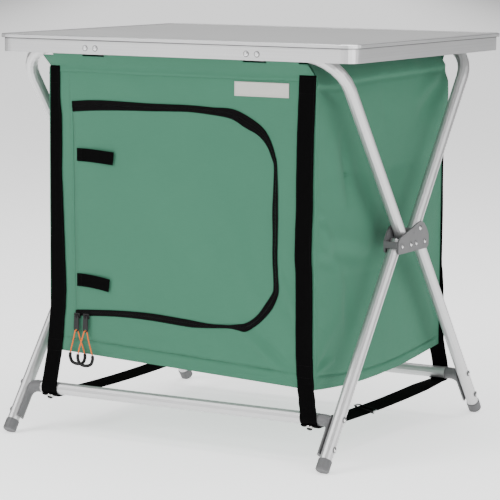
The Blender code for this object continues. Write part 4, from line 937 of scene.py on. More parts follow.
def make_front_wall():
    """The front wall, with the door's opening cut in it."""
    opening = zip_edge(0.8 * MM)
    first, last = opening[0], opening[-1]
    hinge = [
        (last[0] + (first[0] - last[0]) * i / 24 - 0.2 * MM, last[1] + (first[1] - last[1]) * i / 24)
        for i in range(1, 24)
    ]
    loop = opening + hinge
    centre = (-5 * MM, 350 * MM)
    corners = [(s * HALF_WIDTH, z) for s, z in ((-1, CABINET_TOP), (1, CABINET_TOP), (1, 0), (-1, 0))]
    corners = [(x, z or front_bottom(x)) for x, z in corners]
    angle_of = lambda p: math.atan2(p[1] - centre[1], p[0] - centre[0])
    spots = [(angle_of(p), p) for p in loop]
    spots.sort(key=lambda item: item[0])
    inner_at = []
    for turn in sorted([a for a, _ in spots] + [angle_of(c) for c in corners]):
        for (a, p), (b, q) in zip(spots, spots[1:] + [(spots[0][0] + math.tau, spots[0][1])]):
            if a <= turn <= b:
                share = (turn - a) / max(b - a, 1e-9)
                inner_at.append((turn, (p[0] + (q[0] - p[0]) * share, p[1] + (q[1] - p[1]) * share)))
                break
        else:
            inner_at.append((turn, spots[0][1]))
    rings = 44
    rows = [[] for _ in range(rings + 1)]
    for turn, inner in inner_at:
        dx, dz = math.cos(turn), math.sin(turn)
        reach = ((HALF_WIDTH if dx > 0 else -HALF_WIDTH) - centre[0]) / dx
        if dz:
            edge = CABINET_TOP if dz > 0 else front_bottom(centre[0] + dx * reach)
            reach = min(reach, (edge - centre[1]) / dz)
        outer = [centre[0] + dx * reach, centre[1] + dz * reach]
        if dz < 0 and abs(outer[0]) < HALF_WIDTH - 1e-6:
            outer[1] = front_bottom(outer[0])
        for r in range(rings + 1):
            share = r / rings
            rows[r].append(tuple(a + (b - a) * share for a, b in zip(inner, outer)))
    points = [[on_front(x, z) for x, z in row] for row in rows]
    flat = [row + row[:1] for row in rows]
    mesh = grid_mesh("front_wall", points, flat, wrap=True)
    mend_faces(mesh, 0.01 * MM)
    wall = new_piece("front_wall", smooth(mesh, 60), GREEN, "cupboard", "green_fabric")
    thicken(wall, CLOTH, -1)
    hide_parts("front_panel")
    return wall


def make_door():
    edge = zip_edge(-0.8 * MM)
    def level(line, x):
        for (x1, z1), (x2, z2) in zip(line, line[1:]):
            if x1 <= x <= x2:
                return z1 + (z2 - z1) * (x - x1) / max(x2 - x1, 1e-9)
        return line[-1][1] if x > line[-1][0] else line[0][1]

    right = max(x for x, _ in edge)

    def left_at(z):
        share = (z - edge[-1][1]) / (edge[0][1] - edge[-1][1])
        return edge[-1][0] + (edge[0][0] - edge[-1][0]) * share + 0.2 * MM

    def spot(u, v):
        x = -186 * MM + (right + 186 * MM) * (1 - (1 - u) ** 1.6 * (1 - u * 0.2))
        x = min(x, right - 0.05 * MM)
        low, high = level(full_foot, x), level(full_top, x)
        z = low + (high - low) * v
        return x + (left_at(z) + 186 * MM) * (1 - u), z

    middle = 350 * MM
    full_top = sorted([p for p in edge if p[1] >= middle])
    full_foot = sorted([p for p in edge if p[1] < middle])
    columns, rows = 72, 60
    flat = [[spot(i / columns, j / rows) for i in range(columns + 1)] for j in range(rows + 1)]
    points = [[on_front(x, z) for x, z in row] for row in flat]
    mesh = grid_mesh("door_cloth", points, flat)
    door = new_piece("door_cloth", smooth(mesh, 60), GREEN, "door", "green_fabric")
    thicken(door, CLOTH, -1)
    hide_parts("door_panel")
    return door


def tape_strip(name, reach_in, reach_out, lift, body):
    """A strip of zip tape between two shares of the tape's width."""
    columns = 6
    rows, uvs, run = [], [], 0.0
    last = None
    for x, z, nx, nz, width in ZIP_POINTS:
        run += math.hypot(x - last[0], z - last[1]) if last else 0
        last = (x, z)
        row, spots = [], []
        for i in range(columns + 1):
            share = i / columns
            off = reach_in(width) + (reach_out(width) - reach_in(width)) * share
            rise = lift + 0.5 * MM * math.sin(math.pi * share) + 0.25 * MM * soft_wave(run, off, 60, 4.4)
            row.append(on_front(x + nx * off, z + nz * off, rise))
            spots.append((off, run))
        rows.append(row)
        uvs.append(spots)
    mesh = grid_mesh(name, rows, uvs)
    piece = new_piece(name, smooth(mend_faces(mesh), 60), ZIP_TWILL, body, "zip_black")
    thicken(piece, 0.6 * MM, -1)
    return piece, run


def make_zip():
    """Two tapes that nearly meet, with the teeth between them."""
    teeth_reach = 0.9 * MM
    outer, run = tape_strip("zip_tape_outer", lambda w: teeth_reach, lambda w: w / 2, 1.0 * MM, "cupboard")
    inner, _ = tape_strip("zip_tape_inner", lambda w: -w / 2, lambda w: -teeth_reach, 1.0 * MM, "door")
    for piece, node in ((outer, "zip_tape_panel"), (inner, "zip_tape_door")):
        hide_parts(node)
    for name, way, body in (("zip_teeth_outer", 1, "cupboard"), ("zip_teeth_inner", -1, "door")):
        line = []
        for x, z, nx, nz, _ in ZIP_POINTS:
            facing = front_facing(x, z)
            off = 0.55 * MM * way
            line.append((on_front(x + nx * off, z + nz * off, 0.5 * MM), facing))
        if way > 0:
            line.reverse()
        lay_along(name, [line], TOOTH, TOOTH_PLASTIC, 1.9 * MM, body, "zip_black")
    for name, way, body in (("zip_seam_outer", 1, "cupboard"), ("zip_seam_inner", -1, "door")):
        line = []
        for x, z, nx, nz, width in ZIP_POINTS:
            off = way * max(width / 2 - 1.6 * MM, 1.6 * MM)
            line.append((on_front(x + nx * off, z + nz * off, 1.25 * MM), front_facing(x, z)))
        lay_along(name, [line], STITCH, BLACK_THREAD, 2.9 * MM, body, "zip_black")


def front_line(spots, lift=0.0, steps=8):
    """A line on the front wall through the given places, in x and z."""
    line = curve_through([(x, z, 0) for x, z in spots], steps)
    return [(on_front(p.x, p.y, lift), front_facing(p.x, p.y)) for p in line]


def make_front_seams():
    seam = front_line([(x * MM - HINGE_SEAM_SHIFT, z * MM) for x, z in HINGE_SEAM])
    hem = BOTTOM_SEAM + 1.2 * MM
    foot = front_line([(x * MM, front_bottom(x * MM) + hem) for x in range(-200, 181, 20)], 0.2 * MM)
    corners = []
    for side in (-1, 1):
        start, end = side * 180 * MM, side * 203 * MM
        low = front_bottom(end)
        rising = (start, front_bottom(start) + BOTTOM_SEAM)
        corners.append(front_line([rising, ((start + end) / 2, low + 13 * MM), (end, low + 3 * MM)]))
    top = front_line([(x * MM, CABINET_TOP - 3 * MM) for x in range(-205, 206, 41)], 0.1 * MM)
    lines = [seam, foot, top] + corners
    lay_along("front_seams", lines, STITCH, GREEN_THREAD, 3 * MM, "cupboard", "green_fabric")


def make_side_wall(side, hand):
    """A side wall: held at its corners, the shelves and the floor, and folded between.
    Above its top seam the same cloth leans inwards, as a flap under the tabletop."""
    reach = BACK_FACE - CLOTH - GAP
    front = front_bottom(side * HALF_WIDTH)
    seam_share = 0.92

    def place(u, v):
        y = -reach + 2 * reach * u
        low, high = wall_bottom(u, front), wall_top(u)
        if v <= seam_share:
            z = low + (high - low) * v / seam_share
            roll = SEAM_ROLL * math.exp(-(((high - z) / (3 * MM)) ** 2))
            return on_side(y, z, side, roll)
        lean = (v - seam_share) / (1 - seam_share)
        seam = HALF_WIDTH + side_out(y, high, side)
        roll = SEAM_ROLL * math.exp(-((lean * 34 / 9) ** 2))
        slack = 1.8 * MM * soft_wave(y, lean * 0.03, 16, 3.3 + side) * math.sin(math.pi * lean)
        x = seam + (HALF_WIDTH - FLAP_REACH + 1.2 * MM - seam) * lean**2.2 + roll + slack
        drawn_in = 1.8 * MM * (2 * u - 1) * eased(lean * 3)
        return Vector((side * x, y - drawn_in, high + (FLAP_TOP - high) * lean))

    height = CABINET_TOP - CABINET_BOTTOM + 34 * MM
    name = "side_wall_" + hand
    wall = cloth(name, place, 120, 150, (2 * reach, height), "cupboard", -side)
    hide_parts("side_panel_" + hand)
    lines = []
    for rise, drop in ((SIDE_SEAM + 1.3 * MM, None), (None, 4.2 * MM)):
        line = []
        for i in range(61):
            u = 0.02 + 0.96 * i / 60
            y = -reach + 2 * reach * u
            z = wall_bottom(u, front) + rise if rise else wall_top(u) - drop
            line.append((on_side(y, z, side, 0.1 * MM), Vector((side, 0, 0))))
        lines.append(line)
    lay_along("side_seams_" + hand, lines, STITCH, GREEN_THREAD, 3 * MM, "cupboard", "green_fabric")


def make_piping(side, hand):
    """A narrow welt in the corner seam between the front and a side wall."""
    low, high = front_bottom(side * HALF_WIDTH) + 2 * MM, CABINET_TOP - 2 * MM
    path = []
    for i in range(61):
        z = low + (high - low) * i / 60
        sway = 0.3 * MM * soft_wave(z, side, 18, 6.1)
        path.append((side * (HALF_WIDTH + 0.3 * MM + sway), FRONT_FACE + 0.5 * MM, z))
    rod("corner_piping_" + hand, path, 1.1 * MM, GREEN, "cupboard", "green_fabric", 10)


def make_back_wall():
    half = HALF_WIDTH
    free = 204.3 * MM

    def place(u, v):
        z = CABINET_BOTTOM + (CABINET_TOP - CABINET_BOTTOM) * v
        left, right = (HALF_WIDTH + side_out(BACK_FACE - 1.5 * MM, z, side) for side in (-1, 1))
        x = -left + (left + right) * u
        out = bulge((x + free) / (2 * free), z, BACK_CROWN)
        inside = eased((free - abs(x)) / (30 * MM))
        out += (1.3 * MM * soft_wave(x, z, 8, 11.2) + 0.5 * MM * soft_wave(x, z, 28, 6.6)) * inside
        out += fold_height(x, z, DOOR_FOLDS) * inside + fold_height(-x, z, FRONT_FOLDS) * inside
        rise = z - CABINET_BOTTOM
        out -= 0.9 * MM * math.exp(-(((rise - BOTTOM_SEAM) / (2.2 * MM)) ** 2)) * inside
        return Vector((x, BACK_FACE + out * eased(v / 0.05), z))

    size = (2 * half, CABINET_TOP - CABINET_BOTTOM)
    wall = cloth("back_wall", place, 90, 90, size, "cupboard", -1)
    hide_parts("back_panel")
    return wall


def make_floor():
    half = HALF_WIDTH - CLOTH - GAP
    reach = BACK_FACE - CLOTH - GAP - 2.2 * MM

    def place(u, v):
        x, y = -half + 2 * half * u, -reach + 2 * reach * v
        z = wall_bottom(v, front_bottom(x)) + 2.2 * MM
        z += 0.8 * MM * soft_wave(x, y, 10, 7.7) * math.sin(math.pi * u) * math.sin(math.pi * v)
        return Vector((x, y, z))

    floor = cloth("floor_cloth", place, 40, 60, (2 * half, 2 * reach), "cupboard", -1)
    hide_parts("floor_panel")


def tangent_turn(centre, radius, point, way):
    """Where round a circle a straight cloth from a point meets it."""
    across, up = point[0] - centre[0], point[1] - centre[1]
    return math.atan2(up, across) + way * math.acos(radius / math.hypot(across, up))


def make_sleeve(name, node, y_sign):
    """A cloth band up from the wall's top edge, then loops round a rail, parted where the
    tabletop's clips hold the front one."""
    radius = TUBE_R + GAP + 0.5 * MM
    tail = (-(BACK_FACE + 0.5 * MM), CABINET_TOP)
    rail = (-RAIL_Y, RAIL_Z)
    start = tangent_turn(rail, radius, tail, -1)
    turn = arc(rail, radius, start, start - math.radians(240), 40)
    low = [(tail[0], CABINET_TOP - 9 * MM), (tail[0], CABINET_TOP - 4 * MM), tail]
    shares = [0.15, 0.3, 0.45, 0.6, 0.76, 0.88]
    slack = [(tail[0] + (turn[0][0] - tail[0]) * s, tail[1] + (turn[0][1] - tail[1]) * s) for s in shares]
    path = low + slack + turn
    clip, parted, clear, edge = 140 * MM, 19.5 * MM, 213 * MM, HALF_WIDTH - 2 * MM
    loops = ((-clear, -clip - parted), (-clip + parted, clip - parted), (clip + parted, clear))
    columns = sorted({-edge, edge} | {round(a + (b - a) * i / 24, 6) for a, b in loops for i in range(25)})
    seam, whole = len(low) - 1, len(low) + 4
    points = []
    for k, (y, z) in enumerate(path):
        row = []
        for x in columns:
            hang, level = 0.0, z
            if k < seam:
                level += 1.3 * MM * soft_wave(x, 0, 12, 7.2 + y_sign)
            elif k < whole + 2:
                hang = 1.2 * MM * soft_wave(x, z, 14, 2.2 + y_sign) * math.sin(math.pi * (k - seam) / 7)
            if abs(x) == edge and k > seam:
                x = math.copysign(edge, x) - 3 * MM * min(1, (k - seam) / 5)
            row.append(Vector((x, -y_sign * (y - hang), level - hang * 0.3)))
        points.append(row)
    work = bmesh.new()
    layer = work.loops.layers.uv.new("cut")
    made = [[work.verts.new(p) for p in row] for row in points]
    run = [0.0]
    for a, b in zip(path, path[1:]):
        run.append(run[-1] + math.dist(a, b))
    for k in range(len(path) - 1):
        for i in range(len(columns) - 1):
            middle = (columns[i] + columns[i + 1]) / 2
            if k >= whole and not any(a <= middle <= b for a, b in loops):
                continue
            face = work.faces.new((made[k][i], made[k][i + 1], made[k + 1][i + 1], made[k + 1][i]))
            for loop, (a, b) in zip(face.loops, ((k, i), (k, i + 1), (k + 1, i + 1), (k + 1, i))):
                loop[layer].uv = (columns[b], run[a])
    bmesh.ops.delete(work, geom=[v for v in work.verts if not v.link_faces], context="VERTS")
    mesh = bpy.data.meshes.new(name)
    work.to_mesh(mesh)
    work.free()
    sleeve = new_piece(name, smooth(mesh, 60), GREEN, "cupboard", "green_fabric")
    thicken(sleeve, 0.9 * MM, 0)
    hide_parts(node)
    return sleeve


def make_shelf(name, height):
    """A cloth pocket between the side walls, with a stiff board slid into it."""
    board_low, board_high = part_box(name + "_board")
    front, rear = board_low.y - 1.5 * MM, board_high.y + 0.6 * MM
    half_board = (board_high.z - board_low.z) / 2 + 0.9 * MM
    path = [(front + (rear - front) * i / 20, -half_board) for i in range(21)]
    path += [(rear - (rear - front) * i / 20, half_board) for i in range(21)]
    nose = [(front - 1.0 * MM * math.sin(a), half_board * math.cos(a)) for a in (0.6, 1.2, 1.8, 2.4)]
    path = path + nose
    rows, flat, run = [], [], 0.0
    for k, (y, dz) in enumerate(path):
        run += math.dist(path[k - 1], path[k]) if k else 0
        u = (y - FRONT_FACE) / (2 * BACK_FACE)
        half = HALF_WIDTH - CLOTH - 2 * GAP + bulge(u, height, SIDE_CROWN) * 0.9
        rows.append([Vector((-half + 2 * half * i / 12, y, height + dz)) for i in range(13)])
        flat.append([(2 * half * i / 12, run) for i in range(13)])
    mesh = grid_mesh(name + "_pocket", rows, flat)
    mend_faces(mesh, to_front=False)
    pocket = new_piece(name + "_pocket", smooth(mesh, 60), GREEN, "cupboard", "green_fabric")
    thicken(pocket, HEM, 0)
    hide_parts(name)


# Straps


def fold_round(y_sign, side, table, face):
    """Folds the part of a strap that lies beyond the corner back along the side wall."""
    bend = 2 * MM

    def fold(spot):
        corner = read_table(table, spot.z / MM, 2) * MM - bend
        over = abs(spot.x) - corner
        if over <= 0 or spot.z < 90 * MM:
            return spot
        lift = abs(spot.y) - face
        turn = min(math.pi / 2, over / bend)
        past = max(0, over - bend * math.pi / 2)
        x = corner + (bend + lift) * math.sin(turn)
        y = face - bend + (bend + lift) * math.cos(turn) - past
        return Vector((side * x, y_sign * y, spot.z))

    return fold


def make_corner_strap(y_sign, side, hand):
    """Down a corner of the cabinet, then outwards and round under the cross tube."""
    end = "front" if y_sign < 0 else "rear"
    table = STRAP_TABLES[y_sign, side]
    face = BACK_FACE + GAP + STRAP / 2 + 0.3 * MM
    radius = TUBE_R + GAP + STRAP / 2
    leave = 122 * MM
    steps = 48
    path = [(face, CABINET_TOP + 0.5 * MM - (CABINET_TOP - leave) * i / steps) for i in range(steps + 1)]
    centre = (CROSS_Y, CROSS_Z)
    first = tangent_turn(centre, radius, path[-1], -1)
    loop = arc(centre, radius, first, first - STRAP_TURN, 24)
    span = (loop[0][0] - face, loop[0][1] - path[-1][1])
    path += [(face + span[0] * i / 8, path[steps][1] + span[1] * i / 8) for i in range(1, 8)] + loop
    points = []
    for k, (y, z) in enumerate(path):
        wave = 0.5 * MM * soft_wave(z, side + 3 * y_sign, 22, 9.1) if k < steps else 0
        points.append((side * read_table(table, z / MM) * MM, y_sign * (y + max(0, wave)), z))
    name = f"{end}_corner_strap_{hand}"
    fold = fold_round(y_sign, side, table, face)
    webbing = (BLACK_WEBBING, "cupboard", "black_webbing")
    strap = band(name, points, (1, 0, 0), STRAP_WIDTH, STRAP, *webbing, 14, fold)
    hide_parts(f"{end}_strap_{hand}")
    lines = []
    outward = Vector((0, y_sign, 0))
    for off in (-1, 1):
        line = []
        for x, y, z in points[1 : steps + 6]:
            at = Vector((x + off * (STRAP_WIDTH / 2 - 2.4 * MM), y + y_sign * (STRAP / 2 - 0.05 * MM), z))
            spot = fold(at)
            line.append((spot, outward if (spot - at).length < MM else Vector((side, 0, 0))))
        lines.append(line)
    for z in (CABINET_TOP - 3 * MM, CABINET_TOP - 26 * MM, leave + 6 * MM, leave + 24 * MM):
        x = side * read_table(table, z / MM) * MM
        y = y_sign * (face + STRAP / 2 + 0.25 * MM)
        reach = min(11.4 * MM, read_table(table, z / MM, 2) * MM - abs(x) - 2 * MM)
        ends = (x - side * 11.4 * MM, x + side * reach)
        lines.append([(Vector((end_x, y, z)), outward) for end_x in ends])
    seam = lay_along(name + "_seam", lines, STITCH, BLACK_THREAD, 3 * MM, "cupboard", "black_webbing")
    return strap, seam


def spreader_x(side, y):
    """The spreader strap runs from the front strap's loop to the rear one's."""
    front, rear = (read_table(STRAP_TABLES[end, side], 60) * MM for end in (-1, 1))
    return side * (front + (rear - front) * eased((y + CROSS_Y) / (2 * CROSS_Y)))


def spreader_slack(y):
    """How slack the spreader strap hangs at a place: nothing under the tubes."""
    return math.sin(math.pi * min(1, max(0, (y + 205 * MM) / (410 * MM))))


def spreader_roll(y):
    """The way across the spreader strap, which rolls a little between the tubes."""
    roll = SPREADER_ROLL * min(1, 2.4 * spreader_slack(y))
    return Vector((math.cos(roll), 0, -math.sin(roll)))


SPREADER_R = TUBE_R + 2 * GAP + 1.5 * STRAP + 0.1 * MM


def spreader_path(side):
    """Under both cross tubes, with a little slack between them."""
    turn = arc((CROSS_Y, CROSS_Z), SPREADER_R, -0.72, -math.pi / 2, 12)
    whole = [(-y, z) for y, z in turn]
    whole += [(y * MM, CROSS_Z - SPREADER_R) for y in range(-205, 206, 10)]
    whole += list(reversed(turn))
    return [Vector((spreader_x(side, y), y, z - SPREADER_SAG * spreader_slack(y))) for y, z in whole]


def make_spreader(side, hand):
    points = spreader_path(side)
    name = "floor_strap_" + hand
    across = [spreader_roll(p.y) for p in points]
    strap = band(name, points, across, STRAP_WIDTH, STRAP, BLACK_WEBBING, "cupboard", "black_webbing")
    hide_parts("spreader_strap_" + hand)
    lines = []
    for off in (-1, 1):
        line = []
        for point, way in list(zip(points, across))[13:-13]:
            down = Vector((way.z, 0, -way.x))
            at = point + way * off * (STRAP_WIDTH / 2 - 2.4 * MM) + down * (STRAP / 2 - 0.05 * MM)
            line.append((at, down))
        lines.append(line)
    seam = lay_along(name + "_seam", lines, STITCH, BLACK_THREAD, 3 * MM, "cupboard", "black_webbing")
    return strap, seam


def make_studs(side, hand):
    """Press studs at the spreader strap's turned-up ends: a rolled ring and a dark middle."""
    ring = [(0, 0.5), (3.6, 0.5), (4.0, 1.6), (4.9, 2.1), (5.9, 1.7), (6.4, 0.8), (6.4, -0.4), (0, -0.4)]
    cap = [(0, 4.6), (2.4, 4.4), (3.8, 3.7), (4.4, 2.6), (4.2, 0.4), (0, 0.4)]
    made = []
    for y_sign, end in ((-1, "front"), (1, "rear")):
        way = Vector((0, y_sign * math.cos(STUD_TURN), math.sin(STUD_TURN)))
        reach = SPREADER_R + STRAP / 2
        at = Vector((spreader_x(side, y_sign * CROSS_Y), y_sign * CROSS_Y, CROSS_Z)) + way * reach
        place = facing(at, way)
        for kind, profile, material in (("stud", ring, STUD_METAL), ("stud_middle", cap, BLACK_PLASTIC)):
            mesh = turned([(r * MM, h * MM) for r, h in profile], 28)
            mesh.transform(place)
            name = f"{end}_{kind}_{hand}"
            mesh.name = name
            made.append(new_piece(name, smooth(mesh, 30), material, "cupboard", "clip_metal"))
    return made


def make_glide(side, hand):
    """A bent-wire adjuster: an open frame over the strap and a bar under it."""
    low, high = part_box("strap_buckle_" + hand)
    y = (low.y + high.y) / 2
    way = spreader_roll(y)
    up = Vector((-way.z, 0, way.x))
    middle = Vector((spreader_x(side, y), y, CROSS_Z - SPREADER_R - SPREADER_SAG * spreader_slack(y)))
    wide, long, wire = STRAP_WIDTH / 2 + 2.2 * MM, 8 * MM, 1.1 * MM
    above, below = STRAP / 2 + wire + 0.1 * MM, -(STRAP / 2 + wire + 0.1 * MM)
    corner = 2.5 * MM
    spots = [(wide, 0), (wide, long - corner), (wide - corner, long)]
    spots += [(corner - wide, long), (-wide, long - corner)]
    spots += [(-a, -b) for a, b in spots] + [(wide, 0)]
    frame_path = [middle + way * a + up * above + Vector((0, b, 0)) for a, b in spots]
    bar = [(wide, above), (wide - 1.2 * MM, below), (1.2 * MM - wide, below), (-wide, above)]
    bar_path = [middle + way * a + up * b for a, b in bar]
    ring = rod("glide_frame_" + hand, frame_path, wire, BLACK_PLASTIC, "cupboard", "black_plastic", 10)
    rung = rod("glide_bar_" + hand, bar_path, wire, BLACK_PLASTIC, "cupboard", "black_plastic", 10)
    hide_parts("strap_buckle_" + hand)
    made = [ring, rung]
    for end in (-1, 1):
        beside = middle + way * end * (wide + 0.3 * MM) + up * above
        spots = [beside + Vector((0, b, 0)) for b in (-long + corner, 0, long - corner)]
        name = f"glide_end_{hand}_{end + 1}"
        made.append(rod(name, spots, wire + 0.35 * MM, CLIP_METAL, "cupboard", "clip_metal", 10))
    return made


def make_label():
    """A blank woven label: a raised border and a row of stitches round it."""
    low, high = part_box("blank_label")
    edge = 2.2 * MM

    def place(u, v):
        x, z = low.x + (high.x - low.x) * u, low.z + (high.z - low.z) * v
        inset = min(x - low.x, high.x - x, z - low.z, high.z - z)
        lift = 0.75 * MM + (0.35 * MM if inset < edge else 0) - 0.5 * MM * eased(1 - inset / (0.5 * MM))
        return on_front(x, z, lift + 0.12 * MM * soft_wave(x, z, 60, 1.9))

    size = (high.x - low.x, high.z - low.z)
    label = cloth("woven_label", place, 92, 26, size, "cupboard", 1, LABEL_CLOTH, 0.5 * MM)
    label.modifiers["thickness"].offset = -1
    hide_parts("blank_label")
    inset = 1.5 * MM
    left, right, foot, top = low.x + inset, high.x - inset, low.z + inset, high.z - inset
    corners = [(left, foot), (right, foot), (right, top), (left, top)]
    lines = []
    for a, b in zip(corners, corners[1:] + corners[:1]):
        line = []
        for i in range(13):
            x, z = a[0] + (b[0] - a[0]) * i / 12, a[1] + (b[1] - a[1]) * i / 12
            line.append((on_front(x, z, 1.1 * MM), front_facing(x, z)))
        lines.append(line)
    lay_along("label_seam", lines, STITCH, PALE_THREAD, 2.6 * MM, "cupboard", "pale_label", 0.8)


def make_hold_tab(name, node, body, droop):
    """A webbing tab sewn to the door's hinge side, its free end lifting a little off the cloth and drooping.
    """
    low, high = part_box(node)
    width, length = high.z - low.z, high.x - low.x
    middle = (low.z + high.z) / 2
    points, sides = [], []
    for i in range(25):
        share = i / 24
        x = low.x + length * share
        z = middle - droop * share * share
        lift = 1.5 * MM + 1.8 * MM * math.sin(math.pi * share * 0.55) ** 2
        points.append(on_front(x, z, lift))
        sides.append(Vector((0.10 * share, 0, 1)))
    tab = band(name, points, sides, width, 1.3 * MM, BLACK_WEBBING, body, "black_webbing")
    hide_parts(node)
    lines = []
    lift, ahead = 2.2 * MM, Vector((0, -1, 0))
    for x_mm in (2.0, 8.0):
        x = low.x + x_mm * MM
        lines.append([(on_front(x, middle + s * 8 * MM, lift), ahead) for s in (-1, -0.5, 0, 0.5, 1)])
    for s in (-1, 1):
        z = middle + s * 8 * MM
        lines.append([(on_front(low.x + t * MM, z, lift), ahead) for t in (2.0, 4.0, 6.0, 8.0)])
    lay_along(name + "_seam", lines, STITCH, BLACK_THREAD, 2.6 * MM, body, "black_webbing")


# Pulls


def make_pull(hand, body):
    """The cord from the tab's eye to the grip: one loop with its ends in the grip."""
    tab_low, tab_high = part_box(hand + "_pull_tab")
    grip_low, grip_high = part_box(hand + "_pull_grip")
    x = (tab_low.x + tab_high.x) / 2
    y = (tab_low.y + tab_high.y) / 2
    grip_y = (grip_low.y + grip_high.y) / 2
    aside = (grip_low.x + grip_high.x) / 2 - x
    half = (grip_high.x - grip_low.x) / 2 - 2.3 * MM
    eye = tab_low.z + 3.2 * MM
    foot = grip_high.z - 1.0 * MM
    radius = 0.95 * MM
    step = (tab_high.y - tab_low.y) / 2 + radius + 0.2 * MM

    def strand(way):
        ahead = [1, 0.85, 0.5, 0.12, 0.0]
        out = [1, 0.78, 0.42, 0.15, 0.05]
        drop = [1, 0.72, 0.38, 0.08, 0.02]
        spots = []
        for a, o, d in zip(ahead, out, drop):
            forward = y + (grip_y - y) * a + way * step * (1 - a)
            height = eye - 0.4 * MM + (foot - eye) * d
            spots.append(Vector((x + (way * half + aside) * o, forward, height)))
        return spots

    left, right = strand(-1), strand(1)
    points = left + [Vector((x, y, eye - 0.55 * MM))] + right[::-1]
    path = curve_through(points, 8)
    cord = rod(hand + "_cord_loop", path, radius, ORANGE_CORD, body, "orange_cord", 10)
    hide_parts(hand + "_pull_cord")
    thick, drop = 2.5 * MM, grip_high.z - grip_low.z
    bend = [(-half, 0), (-half, -0.35 * drop), (-half * 0.72, -0.74 * drop), (0, 0.9 * thick - drop)]
    bend += [(-a, b) for a, b in reversed(bend[:-1])]
    bow = [Vector((x + aside + a, grip_y, grip_high.z + b)) for a, b in bend]
    grip = rod(hand + "_grip", curve_through(bow, 8), thick, BLACK_PLASTIC, body, "black_plastic", 14)
    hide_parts(hand + "_pull_grip")


def make_rivet_caps():
    """Bright domes on the rivets' heads, each in a dark ring that is painted shade round the head."""
    edge_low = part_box("tabletop_edge")[0]
    plate_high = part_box("hinge_plate_right")[1]
    spots = []
    for k, x in enumerate((-149, -131, 131, 149)):
        at = Vector((x * MM, edge_low.y + 5 * MM, RAIL_Z))
        spots.append((f"apron_rivet_{k}", at, Vector((0, -1, 0)), "tabletop"))
    for side, hand in ((-1, "left"), (1, "right")):
        for k, (y, z) in enumerate(((-39.1, 308), (-8.9, 308), (8.9, 308), (39.1, 308), (22.5, 330))):
            at = Vector((side * (plate_high.x - 1.8 * MM), y * MM, z * MM))
            spots.append((f"plate_rivet_{hand}_{k}", at, Vector((side, 0, 0)), "turning_frame"))
        for y_sign, end, body in ((-1, "front", "turning_frame"), (1, "rear", "cupboard")):
            for k, (y, z) in enumerate(((217.7, 72), (247.3, 33))):
                at = Vector((side * (LEG_X + TUBE_R + 0.3 * MM), y_sign * y * MM, z * MM))
                spots.append((f"elbow_rivet_{end}_{hand}_{k}", at, Vector((side, 0, 0)), body))
    profile = [(0, 2.0), (1.3, 1.85), (2.5, 1.3), (3.4, 0.6), (3.8, 0.1), (3.8, -0.3), (0, -0.3)]
    # Profile of the dark ring: painted shade where each dome meets its surface.
    edge = [(3.6, 0.5), (4.5, 0.45), (4.7, 0.1), (4.7, -0.3), (3.6, -0.3), (3.6, 0.5)]
    for name, at, way, body in spots:
        mesh = turned([(r * MM, h * MM) for r, h in profile], 24)
        mesh.transform(facing(at, way))
        mesh.name = name
        new_piece(name, smooth(mesh, 40), RIVET_METAL, body, "clip_metal")
        # A dark grey ring round the dome that stands for the shade at its rim: painted shade.
        ring = turned([(r * MM, h * MM) for r, h in edge], 24)
        ring.transform(facing(at, way))
        ring.name = name + "_edge"
        new_piece(name + "_edge", smooth(ring, 40), ELBOW_GREY, body, "clip_metal")


def repaint():
    """Gives the model's own rigid pieces their real finishes."""
    finishes = {
        "top_frame": TUBE_METAL, "leg_": TUBE_METAL, "cross_tube": TUBE_METAL, "pivot_pin": BRACKET_GREY,
        "elbow": ELBOW_GREY, "foot": FOOT_GREY, "hinge_": BRACKET_GREY, "tabletop_board": TABLE_GREY,
        "tabletop_edge": RAIL_METAL, "rail_clip": CLIP_METAL, "rear_stop": BRACKET_GREY,
        "shelf_board": HARDBOARD, "buckle": BLACK_PLASTIC, "slider": SLIDER_PAINT,
        "pull_tab": TAB_METAL, "pull_grip": BLACK_PLASTIC,
    }
    for name, node in NODES.items():
        for part, material in finishes.items():
            if part in name:
                node.data.materials.clear()
                node.data.materials.append(material)
                break


def make_stage():
    """A wide pale floor. It glows a little along the way that the camera looks."""
    reach = 40
    corners = [(a * reach, b * reach, 0) for a, b in ((-1, -1), (1, -1), (1, 1), (-1, 1))]
    mesh = bpy.data.meshes.new("floor")
    mesh.from_pydata(corners, [], [(0, 1, 2, 3)])
    paper = Finish("pale_paper", (0.86, 0.86, 0.86), 0.9, Emission_Color=(1, 1, 1, 1))
    paper.paint(paper.shades(paper.speckle(3.0), 0.995, 1.005))
    across = paper.add("ShaderNodeVectorRotate", rotation_type="Z_AXIS")
    across.inputs["Angle"].default_value = -CAMERA_YAW
    paper.join(paper.places.outputs["Object"], across.inputs["Vector"])
    apart = paper.add("ShaderNodeSeparateXYZ")
    paper.join(across.outputs[0], apart.inputs[0])
    glow = paper.add("ShaderNodeMapRange", interpolation_type="SMOOTHSTEP")
    glow.inputs["From Min"].default_value, glow.inputs["From Max"].default_value = 1.2, 3.6
    glow.inputs["To Min"].default_value, glow.inputs["To Max"].default_value = 1.15, 0.3
    paper.join(paper.number("ABSOLUTE", apart.outputs["X"]), glow.inputs["Value"])
    paper.join(glow.outputs["Result"], paper.shader.inputs["Emission Strength"])
    mesh.materials.append(paper.material)
    floor = bpy.data.objects.new("floor", mesh)
    bpy.context.scene.collection.objects.link(floor)


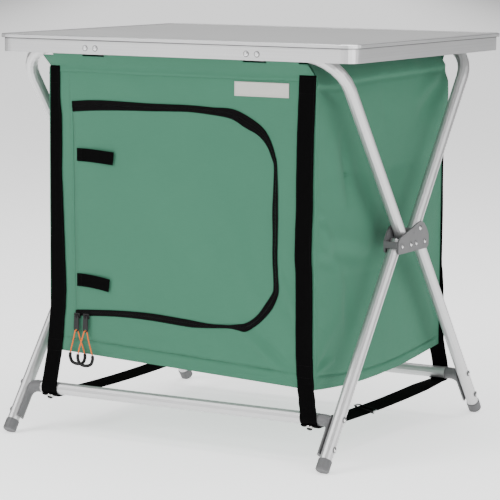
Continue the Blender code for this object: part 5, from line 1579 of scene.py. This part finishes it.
def make_light(name, place, size, power, target=(0, 0, 0.3)):
    data = bpy.data.lights.new(name, "AREA")
    data.shape = "SQUARE"
    data.size = size
    data.energy = power
    light = bpy.data.objects.new(name, data)
    aim = (Vector(target) - Vector(place)).to_track_quat("-Z", "Y")
    light.matrix_world = Matrix.Translation(place) @ aim.to_matrix().to_4x4()
    bpy.context.scene.collection.objects.link(light)


def make_lights():
    world = bpy.data.worlds.new("studio")
    world.use_nodes = True
    sky = world.node_tree.nodes["Background"]
    sky.inputs["Color"].default_value = (1, 1, 1, 1)
    sky.inputs["Strength"].default_value = 0.16
    bpy.context.scene.world = world
    make_light("key", (-1.7, -2.8, 2.3), 2.2, 124)
    make_light("fill", (3.6, -1.3, 1.9), 4.2, 152)
    make_light("overhead", (0.0, 0.3, 3.4), 2.6, 110)


# Assembly

make_front_wall()
make_door()
make_zip()
make_front_seams()
for side, hand in ((-1, "left"), (1, "right")):
    make_side_wall(side, hand)
    make_piping(side, hand)
make_back_wall()
make_floor()
make_sleeve("front_sleeve_cloth", "front_sleeve", -1)
REAR_SLEEVE = make_sleeve("rear_sleeve_cloth", "rear_sleeve", 1)
for name, height in zip(("lower_shelf", "upper_shelf"), SHELF_HEIGHTS):
    make_shelf(name, height)
LOOSE = []
for side, hand in ((-1, "left"), (1, "right")):
    LOOSE += make_corner_strap(-1, side, hand)
    make_corner_strap(1, side, hand)
SPREADERS = []
for side, hand in ((-1, "left"), (1, "right")):
    SPREADERS += make_spreader(side, hand)
    SPREADERS += make_studs(side, hand)
    SPREADERS += make_glide(side, hand)
make_label()
make_hold_tab("upper_hold_strap", "upper_hold_tab", "upper_tab", 3 * MM)
make_hold_tab("lower_hold_strap", "lower_hold_tab", "lower_tab", 5 * MM)
make_pull("left", "left_pull")
make_pull("right", "right_pull")
make_rivet_caps()
repaint()
for made in list(bpy.context.scene.objects):
    if "body" in made:
        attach(made, made["body"])
for made in LOOSE:
    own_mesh(made)
for made in SPREADERS:
    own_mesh(made)
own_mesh(REAR_SLEEVE)
make_stage()
make_lights()
